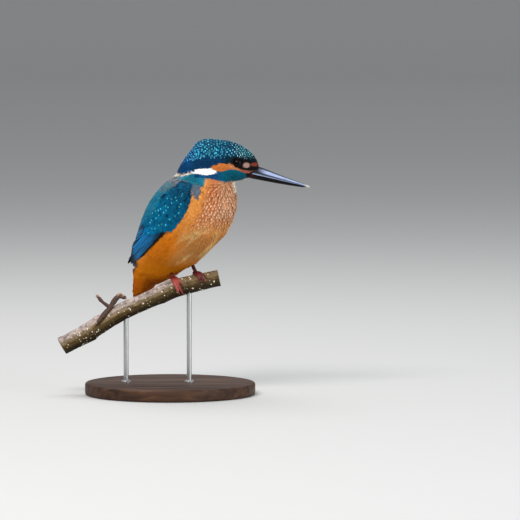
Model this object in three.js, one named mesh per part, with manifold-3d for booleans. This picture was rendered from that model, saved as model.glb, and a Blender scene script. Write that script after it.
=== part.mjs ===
// A life-size common kingfisher (Alcedo atthis) on a cut length of branch, held by a plain display stand.
// Millimetres, +Z up. The origin is the middle of the stand's underside.
// The bird's head looks along +X, and its trunk is turned a little towards -Y, so that its tail hangs
// behind the branch. The solids are the true outline of the feathered bird.
import * as THREE from "three";
import { mergeVertices } from "three/addons/utils/BufferGeometryUtils.js";
import Module from "manifold-3d";

const wasm = await Module();
wasm.setup();

// ---------- driving dimensions ----------
const GAP = 0.3; // between neighbouring solids
const FINEST = 0.1; // the least detail that a solid keeps
const FAR = 400; // beyond every solid
const TRUNK_TURN = 32; // degrees that the trunk is turned towards -Y, away from the head's line
const TRUNK_AT = { x: 11.6, y: 1.5 }; // the upright axis that the trunk is turned about
const HEAD_AT = { x: 34, y: -6.5, z: 158.4 };

// Trunk sections from vent to throat, in the trunk's own upright middle plane (x forwards, z up).
// back and front are half-depths from the centre, wide is the half-width, and lean is how far in degrees
// the section's back edge stands above its front edge.
const TRUNK = [
  { x: -30.6, z: 73.5, lean: 4, back: 6.0, front: 6.0, wide: 5 },
  { x: -28.8, z: 78.0, lean: 6, back: 9.2, front: 12.6, wide: 9.5 },
  { x: -26.6, z: 83.0, lean: 12, back: 12.8, front: 16.0, wide: 13.8 },
  { x: -23.6, z: 89.0, lean: 17, back: 16.6, front: 18.4, wide: 16.6 },
  { x: -16.8, z: 96.5, lean: 18, back: 22.2, front: 23.4, wide: 19.8 },
  { x: -8.9, z: 105.5, lean: 14, back: 26.4, front: 26.4, wide: 22.6 },
  { x: -1.0, z: 116.0, lean: 10, back: 30.4, front: 30.5, wide: 24.6 },
  { x: 4.8, z: 127.0, lean: 6, back: 31.0, front: 31.1, wide: 25.2 },
  { x: 9.1, z: 137.5, lean: 3, back: 27.8, front: 27.7, wide: 24 },
  { x: 12.4, z: 146.0, lean: 2, back: 22.8, front: 22.6, wide: 20.4 },
  { x: 15.0, z: 153.0, lean: 3, back: 16.6, front: 16.4, wide: 15 },
  { x: 16.5, z: 158.5, lean: 3, back: 10.0, front: 10.0, wide: 9 },
];

// Head sections from the nape's crest to the bill's root, measured from HEAD_AT (x forwards, z up).
// crown and jaw are the heights above and below the section's widest point.
const HEAD = [
  { x: -28.8, z: -7.2, crown: 1.2, jaw: 0.8, wide: 3.2 },
  { x: -26.6, z: -6.6, crown: 5.0, jaw: 2.6, wide: 6.2 },
  { x: -23.8, z: -5.4, crown: 8.4, jaw: 4.6, wide: 8.6 },
  { x: -19.0, z: -3.8, crown: 12.9, jaw: 7.0, wide: 10.8 },
  { x: -15.6, z: -3.0, crown: 16.9, jaw: 8.4, wide: 11.9 },
  { x: -12.0, z: -2.4, crown: 18.1, jaw: 9.8, wide: 12.8 },
  { x: -6.0, z: -2.2, crown: 18.3, jaw: 11.8, wide: 13.6 },
  { x: 0.5, z: -2.2, crown: 17.6, jaw: 12.9, wide: 13.7 },
  { x: 7.0, z: -2.2, crown: 16.8, jaw: 12.5, wide: 13.1 },
  { x: 13.6, z: -2.4, crown: 14.7, jaw: 10.2, wide: 11.4 },
  { x: 18.6, z: -3.0, crown: 12.2, jaw: 8.4, wide: 9.2 },
  { x: 22.4, z: -3.6, crown: 9.4, jaw: 6.0, wide: 7.0 },
  { x: 25.2, z: -4.4, crown: 5.6, jaw: 2.6, wide: 5.0 },
  { x: 26.6, z: -5.0, crown: 2.4, jaw: 0.8, wide: 3.2 },
];

// Bill sections from inside the head to the tip, measured from HEAD_AT.
const BILL = [
  { x: 15.5, z: -4.9, crown: 4.6, jaw: 4.6, wide: 4.4 },
  { x: 21.8, z: -6.3, crown: 4.9, jaw: 4.9, wide: 4.7 },
  { x: 27.2, z: -7.6, crown: 4.5, jaw: 4.5, wide: 4.2 },
  { x: 34.0, z: -9.6, crown: 3.9, jaw: 3.8, wide: 3.4 },
  { x: 40.8, z: -11.6, crown: 3.1, jaw: 3.0, wide: 2.7 },
  { x: 47.6, z: -13.4, crown: 2.35, jaw: 2.3, wide: 2.0 },
  { x: 54.4, z: -15.2, crown: 1.5, jaw: 1.45, wide: 1.3 },
  { x: 59.0, z: -16.3, crown: 0.85, jaw: 0.8, wide: 0.75 },
  { x: 61.0, z: -16.8, crown: 0.35, jaw: 0.35, wide: 0.35 },
];
// The line where the bill's halves meet, from the corner of the mouth to the tip.
const GAPE = { from: { x: 18.4, z: -6.9 }, to: { x: 61.0, z: -16.8 } };

const EYE = { x: 12.0, y: 8.8, z: 0.1, radius: 3.8 };

// Planes that part the head from the neck and the neck from the trunk, each as two points seen from
// the side, and the plane that parts the trunk from the tail, in the trunk's own middle plane.
const HEAD_NECK = { from: { x: 4.1, z: 150.4 }, to: { x: 44.2, z: 143.9 } };
const NECK_TRUNK = { from: { x: -1.4, z: 146.9 }, to: { x: 45.6, z: 134.6 } };
const TRUNK_TAIL = { from: { x: -42, z: 88.5 }, to: { x: -18, z: 77 } };

// The folded wing: its lower edge from wrist to tip seen from the trunk's side, and what it leaves bare.
const WING_EDGE = [
  [16.2, 143.2],
  [17.3, 135.7],
  [15.3, 131],
  [12.5, 125.5],
  [8.5, 120.1],
  [2.1, 114.7],
  [-6.7, 107.9],
  [-16.2, 101.1],
  [-26.7, 94.9],
  [-35.0, 90.2],
  [-46.0, 85.4],
];
const WING_OVER = [
  [-62, 100],
  [-52, 128],
  [-32, 145],
  [2, 146.5],
];
const WING = { proud: 0.9, deep: 2.4 };
// The strip of back and rump between the wings: half-width and height.
const BARE_BACK = [
  [14, 84],
  [9.5, 90],
  [7.4, 98],
  [5.6, 108],
  [4.6, 120],
  [4.6, 134],
  [7, 152],
];
// The wing's long feathers, which run past the trunk: centre, half-height and half-thickness.
const PINIONS = [
  { x: -4.0, y: 23.4, z: 115.0, high: 4.0, thick: 1.2 },
  { x: -14.0, y: 22.2, z: 109.0, high: 5.0, thick: 1.5 },
  { x: -23.0, y: 19.0, z: 103.2, high: 5.6, thick: 1.5 },
  { x: -31.4, y: 14.8, z: 97.8, high: 5.0, thick: 1.4 },
  { x: -36.8, y: 11.4, z: 92.9, high: 3.2, thick: 1.1 },
  { x: -42.6, y: 8.8, z: 87.9, high: 0.9, thick: 0.6 },
];

// Tail: the fan of tail feathers, and the soft cone of feathers under its root.
const TAIL_FAN = [
  { x: -35.0, z: 93, thick: 2.4, wide: 7.4 },
  { x: -37.0, z: 84, thick: 2.0, wide: 9.2 },
  { x: -37.5, z: 74, thick: 1.6, wide: 10.0 },
  { x: -37.5, z: 65, thick: 1.2, wide: 10.2 },
  { x: -37.3, z: 61.5, thick: 0.8, wide: 8.6 },
];
const TAIL_CONE = [
  { x: -29.0, z: 84, thick: 13.0, wide: 14.0 },
  { x: -32.0, z: 78, thick: 9.4, wide: 11.0 },
  { x: -34.0, z: 72, thick: 5.6, wide: 8.6 },
  { x: -35.2, z: 67, thick: 2.8, wide: 7.0 },
];

// Branch centre line, y = 0, with its radius.
const BRANCH = [
  { x: -73.5, z: 32.6, r: 6.0 },
  { x: -64.6, z: 37.5, r: 6.1 },
  { x: -53.2, z: 43.6, r: 6.6 },
  { x: -47.6, z: 47.4, r: 6.1 },
  { x: -34.0, z: 55.5, r: 6.0 },
  { x: -20.4, z: 61.8, r: 5.7 },
  { x: -6.8, z: 67.9, r: 6.0 },
  { x: -1.4, z: 70.5, r: 6.6 },
  { x: 7.5, z: 73.2, r: 6.1 },
  { x: 20.4, z: 76.4, r: 5.8 },
  { x: 33.3, z: 79.3, r: 5.5 },
];
// Spur twig: main stem, then the side shoot that leaves it.
const SPUR = [
  { x: -52.6, y: -3.8, z: 45.2, r: 2.9 },
  { x: -48.0, y: -5.4, z: 50.4, r: 2.3 },
  { x: -44.4, y: -4.8, z: 55.0, r: 1.9 },
  { x: -40.8, y: -3.8, z: 59.0, r: 2.0 },
  { x: -38.1, y: -3.3, z: 63.6, r: 1.5 },
  { x: -35.4, y: -3.0, z: 66.6, r: 1.9 },
  { x: -33.4, y: -3.0, z: 67.2, r: 1.6 },
  { x: -30.4, y: -3.0, z: 65.8, r: 1.3 },
];
const SHOOT = [
  { x: -41.0, y: -3.9, z: 59.4, r: 1.4 },
  { x: -44.0, y: -4.4, z: 61.8, r: 1.2 },
  { x: -46.4, y: -4.9, z: 63.6, r: 1.0 },
  { x: -48.2, y: -5.3, z: 66.0, r: 1.3 },
  { x: -49.2, y: -5.5, z: 66.9, r: 0.8 },
];

// Feet: where each stands along the branch, where its leg leaves the body, how far its toes lean along
// the branch, and how far round it they reach.
const FEET = [
  { side: "right", at: 4.0, knee: { x: -1.0, y: 8.0, z: 90 }, slant: 2.2, reach: 1.12 },
  { side: "left", at: 19.0, knee: { x: 11.0, y: 8.0, z: 97 }, slant: 4.2, reach: 0.76 },
];
const TOE_RADIUS = 0.95;
// Toes by their usual numbers: start and end as degrees round the branch from its top (towards -Y is
// positive), spread along the branch at start and end, and radius. The middle and outer toes are joined.
const TOES = [
  { name: "inner", from: 6, to: 62, start: 1.6, end: 2.9, r: 0.85 },
  { name: "middle", from: 4, to: 104, start: 0.2, end: 0.7, r: 1.0 },
  { name: "outer", from: 2, to: 92, start: -1.3, end: -1.5, r: 0.9 },
  { name: "hind", from: -14, to: -74, start: -0.2, end: -1.0, r: 0.95 },
];
const CLAW = { arc: 30 };

const BASE = { radius: 58, height: 8, edge: 1.4 };
const RODS = [
  { name: "stand_rod_left", x: -30 },
  { name: "stand_rod_right", x: 13 },
];
const ROD = { radius: 1.75, intoBase: 5, intoBranch: 3.5 };

// ---------- solids ----------
const toRad = THREE.MathUtils.degToRad;

// A closed geometry as a manifold-3d solid, with its faces turned outwards.
function solidOf(geometry) {
  const bare = geometry.clone();
  bare.deleteAttribute("normal");
  bare.deleteAttribute("uv");
  const merged = mergeVertices(bare, 1e-4);
  const triVerts = new Uint32Array(merged.index.array);
  const make = () =>
    new wasm.Manifold(
      new wasm.Mesh({ numProp: 3, vertProperties: merged.attributes.position.array, triVerts }),
    );
  const made = make();
  if (made.volume() > 0) return made;
  for (let i = 0; i < triVerts.length; i += 3)
    [triVerts[i + 1], triVerts[i + 2]] = [triVerts[i + 2], triVerts[i + 1]];
  return make();
}

// A solid back as a geometry that three.js draws.
function geometryOf(solid) {
  const { vertProperties, triVerts } = solid.getMesh();
  const geometry = new THREE.BufferGeometry();
  geometry.setAttribute("position", new THREE.BufferAttribute(vertProperties, 3));
  geometry.setIndex(new THREE.BufferAttribute(triVerts, 1));
  const faceted = geometry.toNonIndexed();
  faceted.computeVertexNormals();
  return faceted;
}

const union = (...solids) => solids.reduce((all, next) => all.add(next));

// Rows of named numbers with a smooth curve through them: `steps` rows from the first to the last.
function smoothRows(rows, steps) {
  const keys = Object.keys(rows[0]);
  const flat = Float32Array.from(rows.flatMap((row) => keys.map((key) => row[key])));
  const places = Float32Array.from(rows.keys());
  const curve = new THREE.CubicInterpolant(places, flat, keys.length);
  return Array.from({ length: steps }, (_, i) => {
    const values = curve.evaluate((i / (steps - 1)) * (rows.length - 1));
    return Object.fromEntries(keys.map((key, k) => [key, values[k]]));
  });
}

// A skin over rings of points, closed by a fan at each end.
function skinOver(rings) {
  const sides = rings[0].length;
  const points = rings.flat();
  const middle = (ring) =>
    ring.reduce((sum, p) => sum.add(p), new THREE.Vector3()).divideScalar(sides);
  const first = points.push(middle(rings[0])) - 1;
  const last = points.push(middle(rings.at(-1))) - 1;
  const faces = [];
  rings.forEach((_, r) => {
    for (let s = 0; s < sides; s++) {
      const next = (s + 1) % sides;
      const a = r * sides + s;
      const b = r * sides + next;
      if (r + 1 < rings.length) faces.push(a, b, a + sides, b, b + sides, a + sides);
    }
  });
  const end = (rings.length - 1) * sides;
  for (let s = 0; s < sides; s++) {
    const next = (s + 1) % sides;
    faces.push(first, next, s, last, end + s, end + next);
  }
  const geometry = new THREE.BufferGeometry().setFromPoints(points);
  geometry.setIndex(faces);
  return solidOf(geometry);
}

// One oval ring: the over and under half-axes lie along and against `up`, and wide lies along y.
function oval({ x, y = 0, z, over, under, wide }, up, sides) {
  return Array.from({ length: sides }, (_, s) => {
    const angle = (s / sides) * 2 * Math.PI;
    const rise = Math.sin(angle);
    const high = rise * (rise > 0 ? over : under);
    return new THREE.Vector3(x + up.x * high, y + wide * Math.cos(angle), z + up.z * high);
  });
}

// A round tube with a radius of its own at each row.
function tube(rows, steps, sides, grow = 0) {
  const smooth = smoothRows(rows, steps);
  const path = new THREE.CatmullRomCurve3(
    smooth.map(({ x, y = 0, z }) => new THREE.Vector3(x, y, z)),
  );
  const frames = path.computeFrenetFrames(steps - 1, false);
  const rings = smooth.map(({ r }, i) => {
    const centre = path.getPointAt(i / (steps - 1));
    return Array.from({ length: sides }, (_, s) => {
      const angle = (s / sides) * 2 * Math.PI;
      return centre
        .clone()
        .addScaledVector(frames.normals[i], (r + grow) * Math.cos(angle))
        .addScaledVector(frames.binormals[i], (r + grow) * Math.sin(angle));
    });
  });
  return skinOver(rings);
}

// Everything on one side of a plane that stands on edge when seen from the side.
function halfSpace({ from, to }, above, shift) {
  const along = Math.atan2(to.z - from.z, to.x - from.x);
  const box = new THREE.BoxGeometry(FAR, FAR, FAR);
  box.translate(0, 0, (above ? 1 : -1) * (FAR / 2 + shift));
  box.rotateY(-along);
  box.translate((from.x + to.x) / 2, 0, (from.z + to.z) / 2);
  return solidOf(box);
}

// The trunk's own frame set into the model's.
const trunkFrame = new THREE.Matrix4()
  .makeTranslation(TRUNK_AT.x, TRUNK_AT.y, 0)
  .multiply(new THREE.Matrix4().makeRotationZ(toRad(-TRUNK_TURN)));
const inPlace = (solid) => solid.transform(trunkFrame.elements);

// ---------- the flesh, as one outline ----------
function trunkSolid(grow = 0) {
  const rings = smoothRows(TRUNK, 18).map(({ x, z, lean, back, front, wide }) => {
    const up = new THREE.Vector3(-Math.cos(toRad(lean)), 0, Math.sin(toRad(lean)));
    return oval({ x, z, over: back + grow, under: front + grow, wide: wide + grow }, up, 24);
  });
  return skinOver(rings);
}

function headSections(rows, steps, sides, grow = 0) {
  const up = new THREE.Vector3(0, 0, 1);
  const rings = smoothRows(rows, steps).map(({ x, z, crown, jaw, wide }) =>
    oval({ x, z, over: crown + grow, under: jaw + grow, wide: wide + grow }, up, sides),
  );
  return skinOver(rings).translate([HEAD_AT.x, HEAD_AT.y, HEAD_AT.z]);
}

const TAIL_UP = new THREE.Vector3(-1, 0, 0);
function tailPart(rows, steps, sides) {
  const rings = smoothRows(rows, steps).map(({ x, z, thick, wide }) =>
    oval({ x, z, over: thick, under: thick, wide }, TAIL_UP, sides),
  );
  return skinOver(rings);
}

// ---------- wings ----------
// A flat outline stood up in the trunk's middle plane and run `depth` towards -y.
function standing(points, depth) {
  const outline = new THREE.Shape(points.map(([x, z]) => new THREE.Vector2(x, z)));
  const block = new THREE.ExtrudeGeometry(outline, { depth, bevelEnabled: false });
  return block.rotateX(Math.PI / 2);
}

// One wing in the trunk's frame, on the side given by `side` (-1 is right). `slack` grows the room
// that it takes, for cutting its neighbours.
const BLADE_UP = new THREE.Vector3(-0.5, 0, 0.87);
function wingSolid(side, slack = 0) {
  const strip = BARE_BACK.map(([half, z]) => [half - slack, z]);
  const mirrored = strip.map(([half, z]) => [-half, z]).reverse();
  const between = standing([...strip, ...mirrored], FAR);
  between.rotateZ(-Math.PI / 2); // its depth now runs along -x
  const block = solidOf(standing([...WING_EDGE, ...WING_OVER], 60)).subtract(solidOf(between));
  const shell = trunkSolid(WING.proud + slack).subtract(trunkSolid(-WING.deep - slack));
  const blade = skinOver(
    smoothRows(PINIONS, 11).map(({ x, y, z, high, thick }) =>
      oval({ x, y: -y, z, over: high + slack, under: high + slack, wide: thick + slack }, BLADE_UP, 10),
    ),
  );
  const right = shell.intersect(block).add(blade.subtract(trunkSolid(-WING.deep - slack)));
  return side < 0 ? right : right.mirror([0, 1, 0]);
}

// ---------- branch and feet ----------
const branchPath = new THREE.CatmullRomCurve3(
  smoothRows(BRANCH, 60).map(({ x, z }) => new THREE.Vector3(x, 0, z)),
);

// The branch's centre, direction and radius where its centre line passes x.
function branchAt(x) {
  const first = BRANCH[0].x;
  let u = (x - first) / (BRANCH.at(-1).x - first);
  for (let i = 0; i < 20; i++) u += (x - branchPath.getPointAt(u).x) / 110;
  const rows = smoothRows(BRANCH, 200);
  const nearest = rows.reduce((a, b) => (Math.abs(b.x - x) < Math.abs(a.x - x) ? b : a));
  return { centre: branchPath.getPointAt(u), along: branchPath.getTangentAt(u), r: nearest.r };
}

// A point on a toe's centre line: `turn` degrees round the branch from its top, `shift` along it.
function gripPoint(foot, turn, shift, clearance) {
  const { centre, along, r } = branchAt(foot.at + shift);
  const up = new THREE.Vector3(-along.z, 0, along.x);
  const near = new THREE.Vector3(0, -1, 0);
  return centre
    .clone()
    .addScaledVector(up, (r + clearance) * Math.cos(toRad(turn)))
    .addScaledVector(near, (r + clearance) * Math.sin(toRad(turn)));
}

// Rows of a toe's centre line between two turns; it leans along the branch as it goes round.
function toeRows(foot, toe, from, to, count, radiusAt, clearanceAt) {
  return Array.from({ length: count }, (_, i) => {
    const t = i / (count - 1);
    const turn = THREE.MathUtils.lerp(from, to, t);
    const run = (turn - toe.from) / (toe.to * foot.reach - toe.from);
    const lean = foot.slant * ((turn - toe.from) / 90);
    const shift = THREE.MathUtils.lerp(toe.start, toe.end, run) + lean;
    const point = gripPoint(foot, turn, shift, clearanceAt(t));
    return { x: point.x, y: point.y, z: point.z, r: radiusAt(t) };
  });
}

function toeSolid(foot, toe, grow = 0) {
  const pads = 3; // soft swellings under the joints
  const radius = (t) => toe.r * (1.02 - 0.26 * t + 0.07 * Math.cos(t * pads * 2 * Math.PI));
  const clearance = () => toe.r + GAP + 0.05;
  return tube(toeRows(foot, toe, toe.from, toe.to * foot.reach, 8, radius, clearance), 8, 7, grow);
}

function footSolid(foot, grow = 0) {
  const heel = gripPoint(foot, -2, 0.1, TOE_RADIUS + 0.55);
  const pad = new THREE.SphereGeometry(1.55 + grow, 10, 6);
  pad.scale(1.15, 1.1, 0.8);
  pad.translate(heel.x, heel.y, heel.z);
  return union(solidOf(pad), ...TOES.map((toe) => toeSolid(foot, toe, grow)));
}

// Each claw carries on round the branch from its toe's end and bends in to the bark.
function clawSolid(foot, toe) {
  const end = toe.to * foot.reach;
  const way = Math.sign(toe.to);
  const radius = (t) => 0.62 * toe.r * (1 - 0.82 * t * t) + 0.02;
  const clearance = (t) => toe.r + GAP + 0.25 * Math.sin(t * Math.PI) - (toe.r - 0.3) * t * t;
  const rows = toeRows(foot, toe, end - way * 4, end + way * CLAW.arc, 6, radius, clearance);
  return tube(rows, 7, 6).subtract(footSolid(foot, GAP));
}

function legSolid(foot) {
  const ankle = gripPoint(foot, -2, 0, TOE_RADIUS + 1.1);
  const { knee } = foot;
  const middle = ankle.clone().lerp(new THREE.Vector3(knee.x, knee.y, knee.z), 0.5);
  return tube(
    [
      { ...knee, r: 1.9 },
      { x: middle.x, y: middle.y, z: middle.z, r: 1.25 },
      { x: ankle.x, y: ankle.y, z: ankle.z, r: 1.35 },
    ],
    7,
    10,
  );
}

// ---------- parting the flesh into its nodes ----------
const bill = headSections(BILL, 14, 12);
const billRoom = headSections(BILL, 14, 12, GAP);
const eyeSocket = (side) => {
  const socket = new THREE.SphereGeometry(EYE.radius + GAP, 16, 10);
  socket.translate(HEAD_AT.x + EYE.x, HEAD_AT.y + side * EYE.y, HEAD_AT.z + EYE.z);
  return solidOf(socket);
};

const headAll = headSections(HEAD, 21, 22);
const trunkAll = inPlace(trunkSolid());
const tailAll = inPlace(union(tailPart(TAIL_FAN, 7, 12), tailPart(TAIL_CONE, 6, 14)));
const flesh = union(headAll, trunkAll);
const wingRoom = union(inPlace(wingSolid(-1, GAP)), inPlace(wingSolid(1, GAP)));
const tailSide = inPlace(halfSpace(TRUNK_TAIL, false, GAP / 2));
const trunkSide = inPlace(halfSpace(TRUNK_TAIL, true, GAP / 2));

const head = flesh
  .intersect(halfSpace(HEAD_NECK, true, GAP / 2))
  .subtract(billRoom)
  .subtract(union(eyeSocket(-1), eyeSocket(1)))
  .subtract(wingRoom);
const neck = flesh
  .intersect(halfSpace(HEAD_NECK, false, GAP / 2))
  .intersect(halfSpace(NECK_TRUNK, true, GAP / 2))
  .subtract(billRoom)
  .subtract(wingRoom);
const trunk = flesh
  .intersect(halfSpace(NECK_TRUNK, false, GAP / 2))
  .intersect(trunkSide)
  .subtract(wingRoom);
const tail = union(trunkAll, tailAll).intersect(tailSide).subtract(wingRoom);
const trunkRoom = inPlace(trunkSolid(GAP));

// ---------- scene graph ----------
const kingfisher = new THREE.Group();

function add(name, solid, color, roughness = 0.8, metalness = 0) {
  const largest = solid.decompose().reduce((a, b) => (b.volume() > a.volume() ? b : a));
  const material = new THREE.MeshStandardMaterial({ color, roughness, metalness });
  const mesh = new THREE.Mesh(geometryOf(largest.simplify(FINEST)), material);
  mesh.name = name;
  kingfisher.add(mesh);
  return mesh;
}

add("head", head, 0x0f5f7e);
add("neck", neck, 0xc9763a);
add("trunk", trunk, 0xc8752c);
add("tail", tail, 0x9c5a1c);
add("bill_upper", bill.intersect(halfSpace(gapeLine(), true, GAP / 2)), 0x17161b, 0.35);
add("bill_lower", bill.intersect(halfSpace(gapeLine(), false, GAP / 2)), 0x17161b, 0.35);

// The bill's parting line in the model's frame.
function gapeLine() {
  const shift = ({ x, z }) => ({ x: x + HEAD_AT.x, z: z + HEAD_AT.z });
  return { from: shift(GAPE.from), to: shift(GAPE.to) };
}

for (const [name, side] of [
  ["eye_right", -1],
  ["eye_left", 1],
]) {
  const eye = add(name, solidOf(new THREE.SphereGeometry(EYE.radius, 16, 10)), 0x0b0808, 0.08);
  eye.position.set(HEAD_AT.x + EYE.x, HEAD_AT.y + side * EYE.y, HEAD_AT.z + EYE.z);
}

for (const [name, side] of [
  ["wing_right", -1],
  ["wing_left", 1],
])
  add(name, inPlace(wingSolid(side)).subtract(tailAll), 0x0c6a8c, 0.55);

for (const foot of FEET) {
  const leg = legSolid(foot).subtract(trunkRoom).subtract(footSolid(foot, GAP));
  add(`leg_${foot.side}`, leg, 0x9c2f2c, 0.6);
  add(`foot_${foot.side}`, footSolid(foot), 0xb8433a, 0.6);
  for (const toe of TOES) add(`claw_${foot.side}_${toe.name}`, clawSolid(foot, toe), 0x1c1416, 0.35);
}

const rodAt = RODS.map(({ x }) => {
  const { centre, r } = branchAt(x);
  return { low: BASE.height - ROD.intoBase, high: centre.z - r + ROD.intoBranch };
});
const rodSolid = (i, grow) => {
  const { low, high } = rodAt[i];
  const rod = new THREE.CylinderGeometry(ROD.radius + grow, ROD.radius + grow, high - low + 2 * grow, 14);
  rod.rotateX(Math.PI / 2);
  rod.translate(RODS[i].x, 0, (high + low) / 2);
  return solidOf(rod);
};
const rodRoom = union(rodSolid(0, GAP), rodSolid(1, GAP));
const branch = tube(BRANCH, 26, 14).subtract(rodRoom);
add("perch_branch", branch, 0x4a3f33, 0.85);
add("perch_spur", union(tube(SPUR, 14, 8), tube(SHOOT, 8, 7)).subtract(tube(BRANCH, 26, 14, GAP)), 0x3a231c, 0.85);
RODS.forEach(({ name }, i) => add(name, rodSolid(i, 0), 0xb9b9b4, 0.3, 1));

// A turned disc with a small bevel on both rims.
const { radius, height, edge } = BASE;
const profile = [
  [0, 0],
  [radius - edge, 0],
  [radius, edge],
  [radius, height - edge],
  [radius - edge, height],
  [0, height],
].map(([r, z]) => new THREE.Vector2(r, z));
const disc = new THREE.LatheGeometry(profile, 36);
disc.rotateX(Math.PI / 2);
add("stand_base", solidOf(disc).subtract(rodRoom), 0x2b211b, 0.4);

export default kingfisher;
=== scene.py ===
# %% [markdown]
# # A common kingfisher on its perch
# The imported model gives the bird's outline as plain solids. This lesson dresses it: a skin under a coat
# of feather vanes, a horn bill, wet eyes, scaly feet, bark, and the display stand that carries it all.

# %% Load the frame
import math

from itertools import product

import bmesh
import bpy
import numpy as np
from mathutils import Matrix, Vector, noise
from mathutils.bvhtree import BVHTree
from mathutils.kdtree import KDTree


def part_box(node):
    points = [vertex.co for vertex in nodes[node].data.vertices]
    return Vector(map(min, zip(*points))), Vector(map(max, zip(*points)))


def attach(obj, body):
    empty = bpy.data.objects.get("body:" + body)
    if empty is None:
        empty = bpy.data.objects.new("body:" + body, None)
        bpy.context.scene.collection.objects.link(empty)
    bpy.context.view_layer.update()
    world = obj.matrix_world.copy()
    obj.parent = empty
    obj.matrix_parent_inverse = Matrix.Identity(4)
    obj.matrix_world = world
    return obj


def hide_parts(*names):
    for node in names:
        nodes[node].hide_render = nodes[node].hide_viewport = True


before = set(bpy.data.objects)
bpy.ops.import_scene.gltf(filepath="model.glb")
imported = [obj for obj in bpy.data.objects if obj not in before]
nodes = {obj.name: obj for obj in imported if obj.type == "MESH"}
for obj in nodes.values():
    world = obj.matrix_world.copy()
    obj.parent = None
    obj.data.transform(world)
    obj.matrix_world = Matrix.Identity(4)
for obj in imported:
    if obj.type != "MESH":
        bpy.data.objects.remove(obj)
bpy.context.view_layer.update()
MM = 0.001
scene = bpy.context.scene
print("nodes:", len(nodes))

# %% [markdown]
# ## Camera, light and floor
# A long lens from almost level keeps the bird's side view free of perspective. Three soft lights, a key
# above and to the left, a weaker fill on the right and a top light from behind, and a pale floor that
# curves up at the back, as in a studio for product pictures, let the colours of the feathers speak.

# %% Camera
AIM = Vector((61.2, 0, 91.5)) * MM
FAR = 3.93
RAISED = math.radians(4.5)
camera = bpy.data.objects.new("camera", bpy.data.cameras.new("camera"))
scene.collection.objects.link(camera)
camera.data.lens = 400
camera.data.sensor_width = 36
camera.data.clip_end = 30
camera.location = AIM + FAR * Vector((0, -math.cos(RAISED), math.sin(RAISED)))
camera.rotation_euler = (math.pi / 2 - RAISED, 0, 0)
scene.camera = camera
scene.view_settings.view_transform = "Standard"
scene.view_settings.look = "None"


# %% Lights
def soft_light(name, place, target, size, power, tint=(1, 1, 1)):
    lamp = bpy.data.lights.new(name, "AREA")
    lamp.shape = "RECTANGLE"
    lamp.size, lamp.size_y = size
    lamp.energy = power
    lamp.color = tint
    thing = bpy.data.objects.new(name, lamp)
    scene.collection.objects.link(thing)
    thing.location = place
    thing.rotation_euler = (Vector(target) - Vector(place)).to_track_quat("-Z", "Y").to_euler()


BIRD_MIDDLE = (0.01, 0, 0.12)
soft_light("key light", (-0.55, -1.15, 1.25), BIRD_MIDDLE, (0.95, 0.42), 25, (1, 0.985, 0.96))
soft_light("fill light", (1.3, -0.9, 0.45), BIRD_MIDDLE, (1.0, 1.2), 16, (0.88, 0.95, 1))
soft_light("top light", (-0.1, 0.5, 1.3), BIRD_MIDDLE, (0.9, 0.9), 12)
world = bpy.data.worlds.new("studio")
scene.world = world
world.use_nodes = True
world.node_tree.nodes["Background"].inputs["Color"].default_value = (0.86, 0.9, 0.95, 1)
world.node_tree.nodes["Background"].inputs["Strength"].default_value = 0.5


# %% [markdown]
# ## Small tools
# Each material is a Principled BSDF with a few nodes in front of it. These helpers make the nodes and
# links short to write, and turn a bmesh into a piece of the model.

# %% Node helpers
def srgb(red, green, blue):
    """A colour picked in 0-255 screen values, as Blender's linear colour."""
    def linear(c):
        c /= 255
        return c / 12.92 if c <= 0.04045 else ((c + 0.055) / 1.055) ** 2.4

    return (linear(red), linear(green), linear(blue))


def dye(red, green, blue):
    """The same as an array, to reckon with."""
    return np.array(srgb(red, green, blue))


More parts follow.
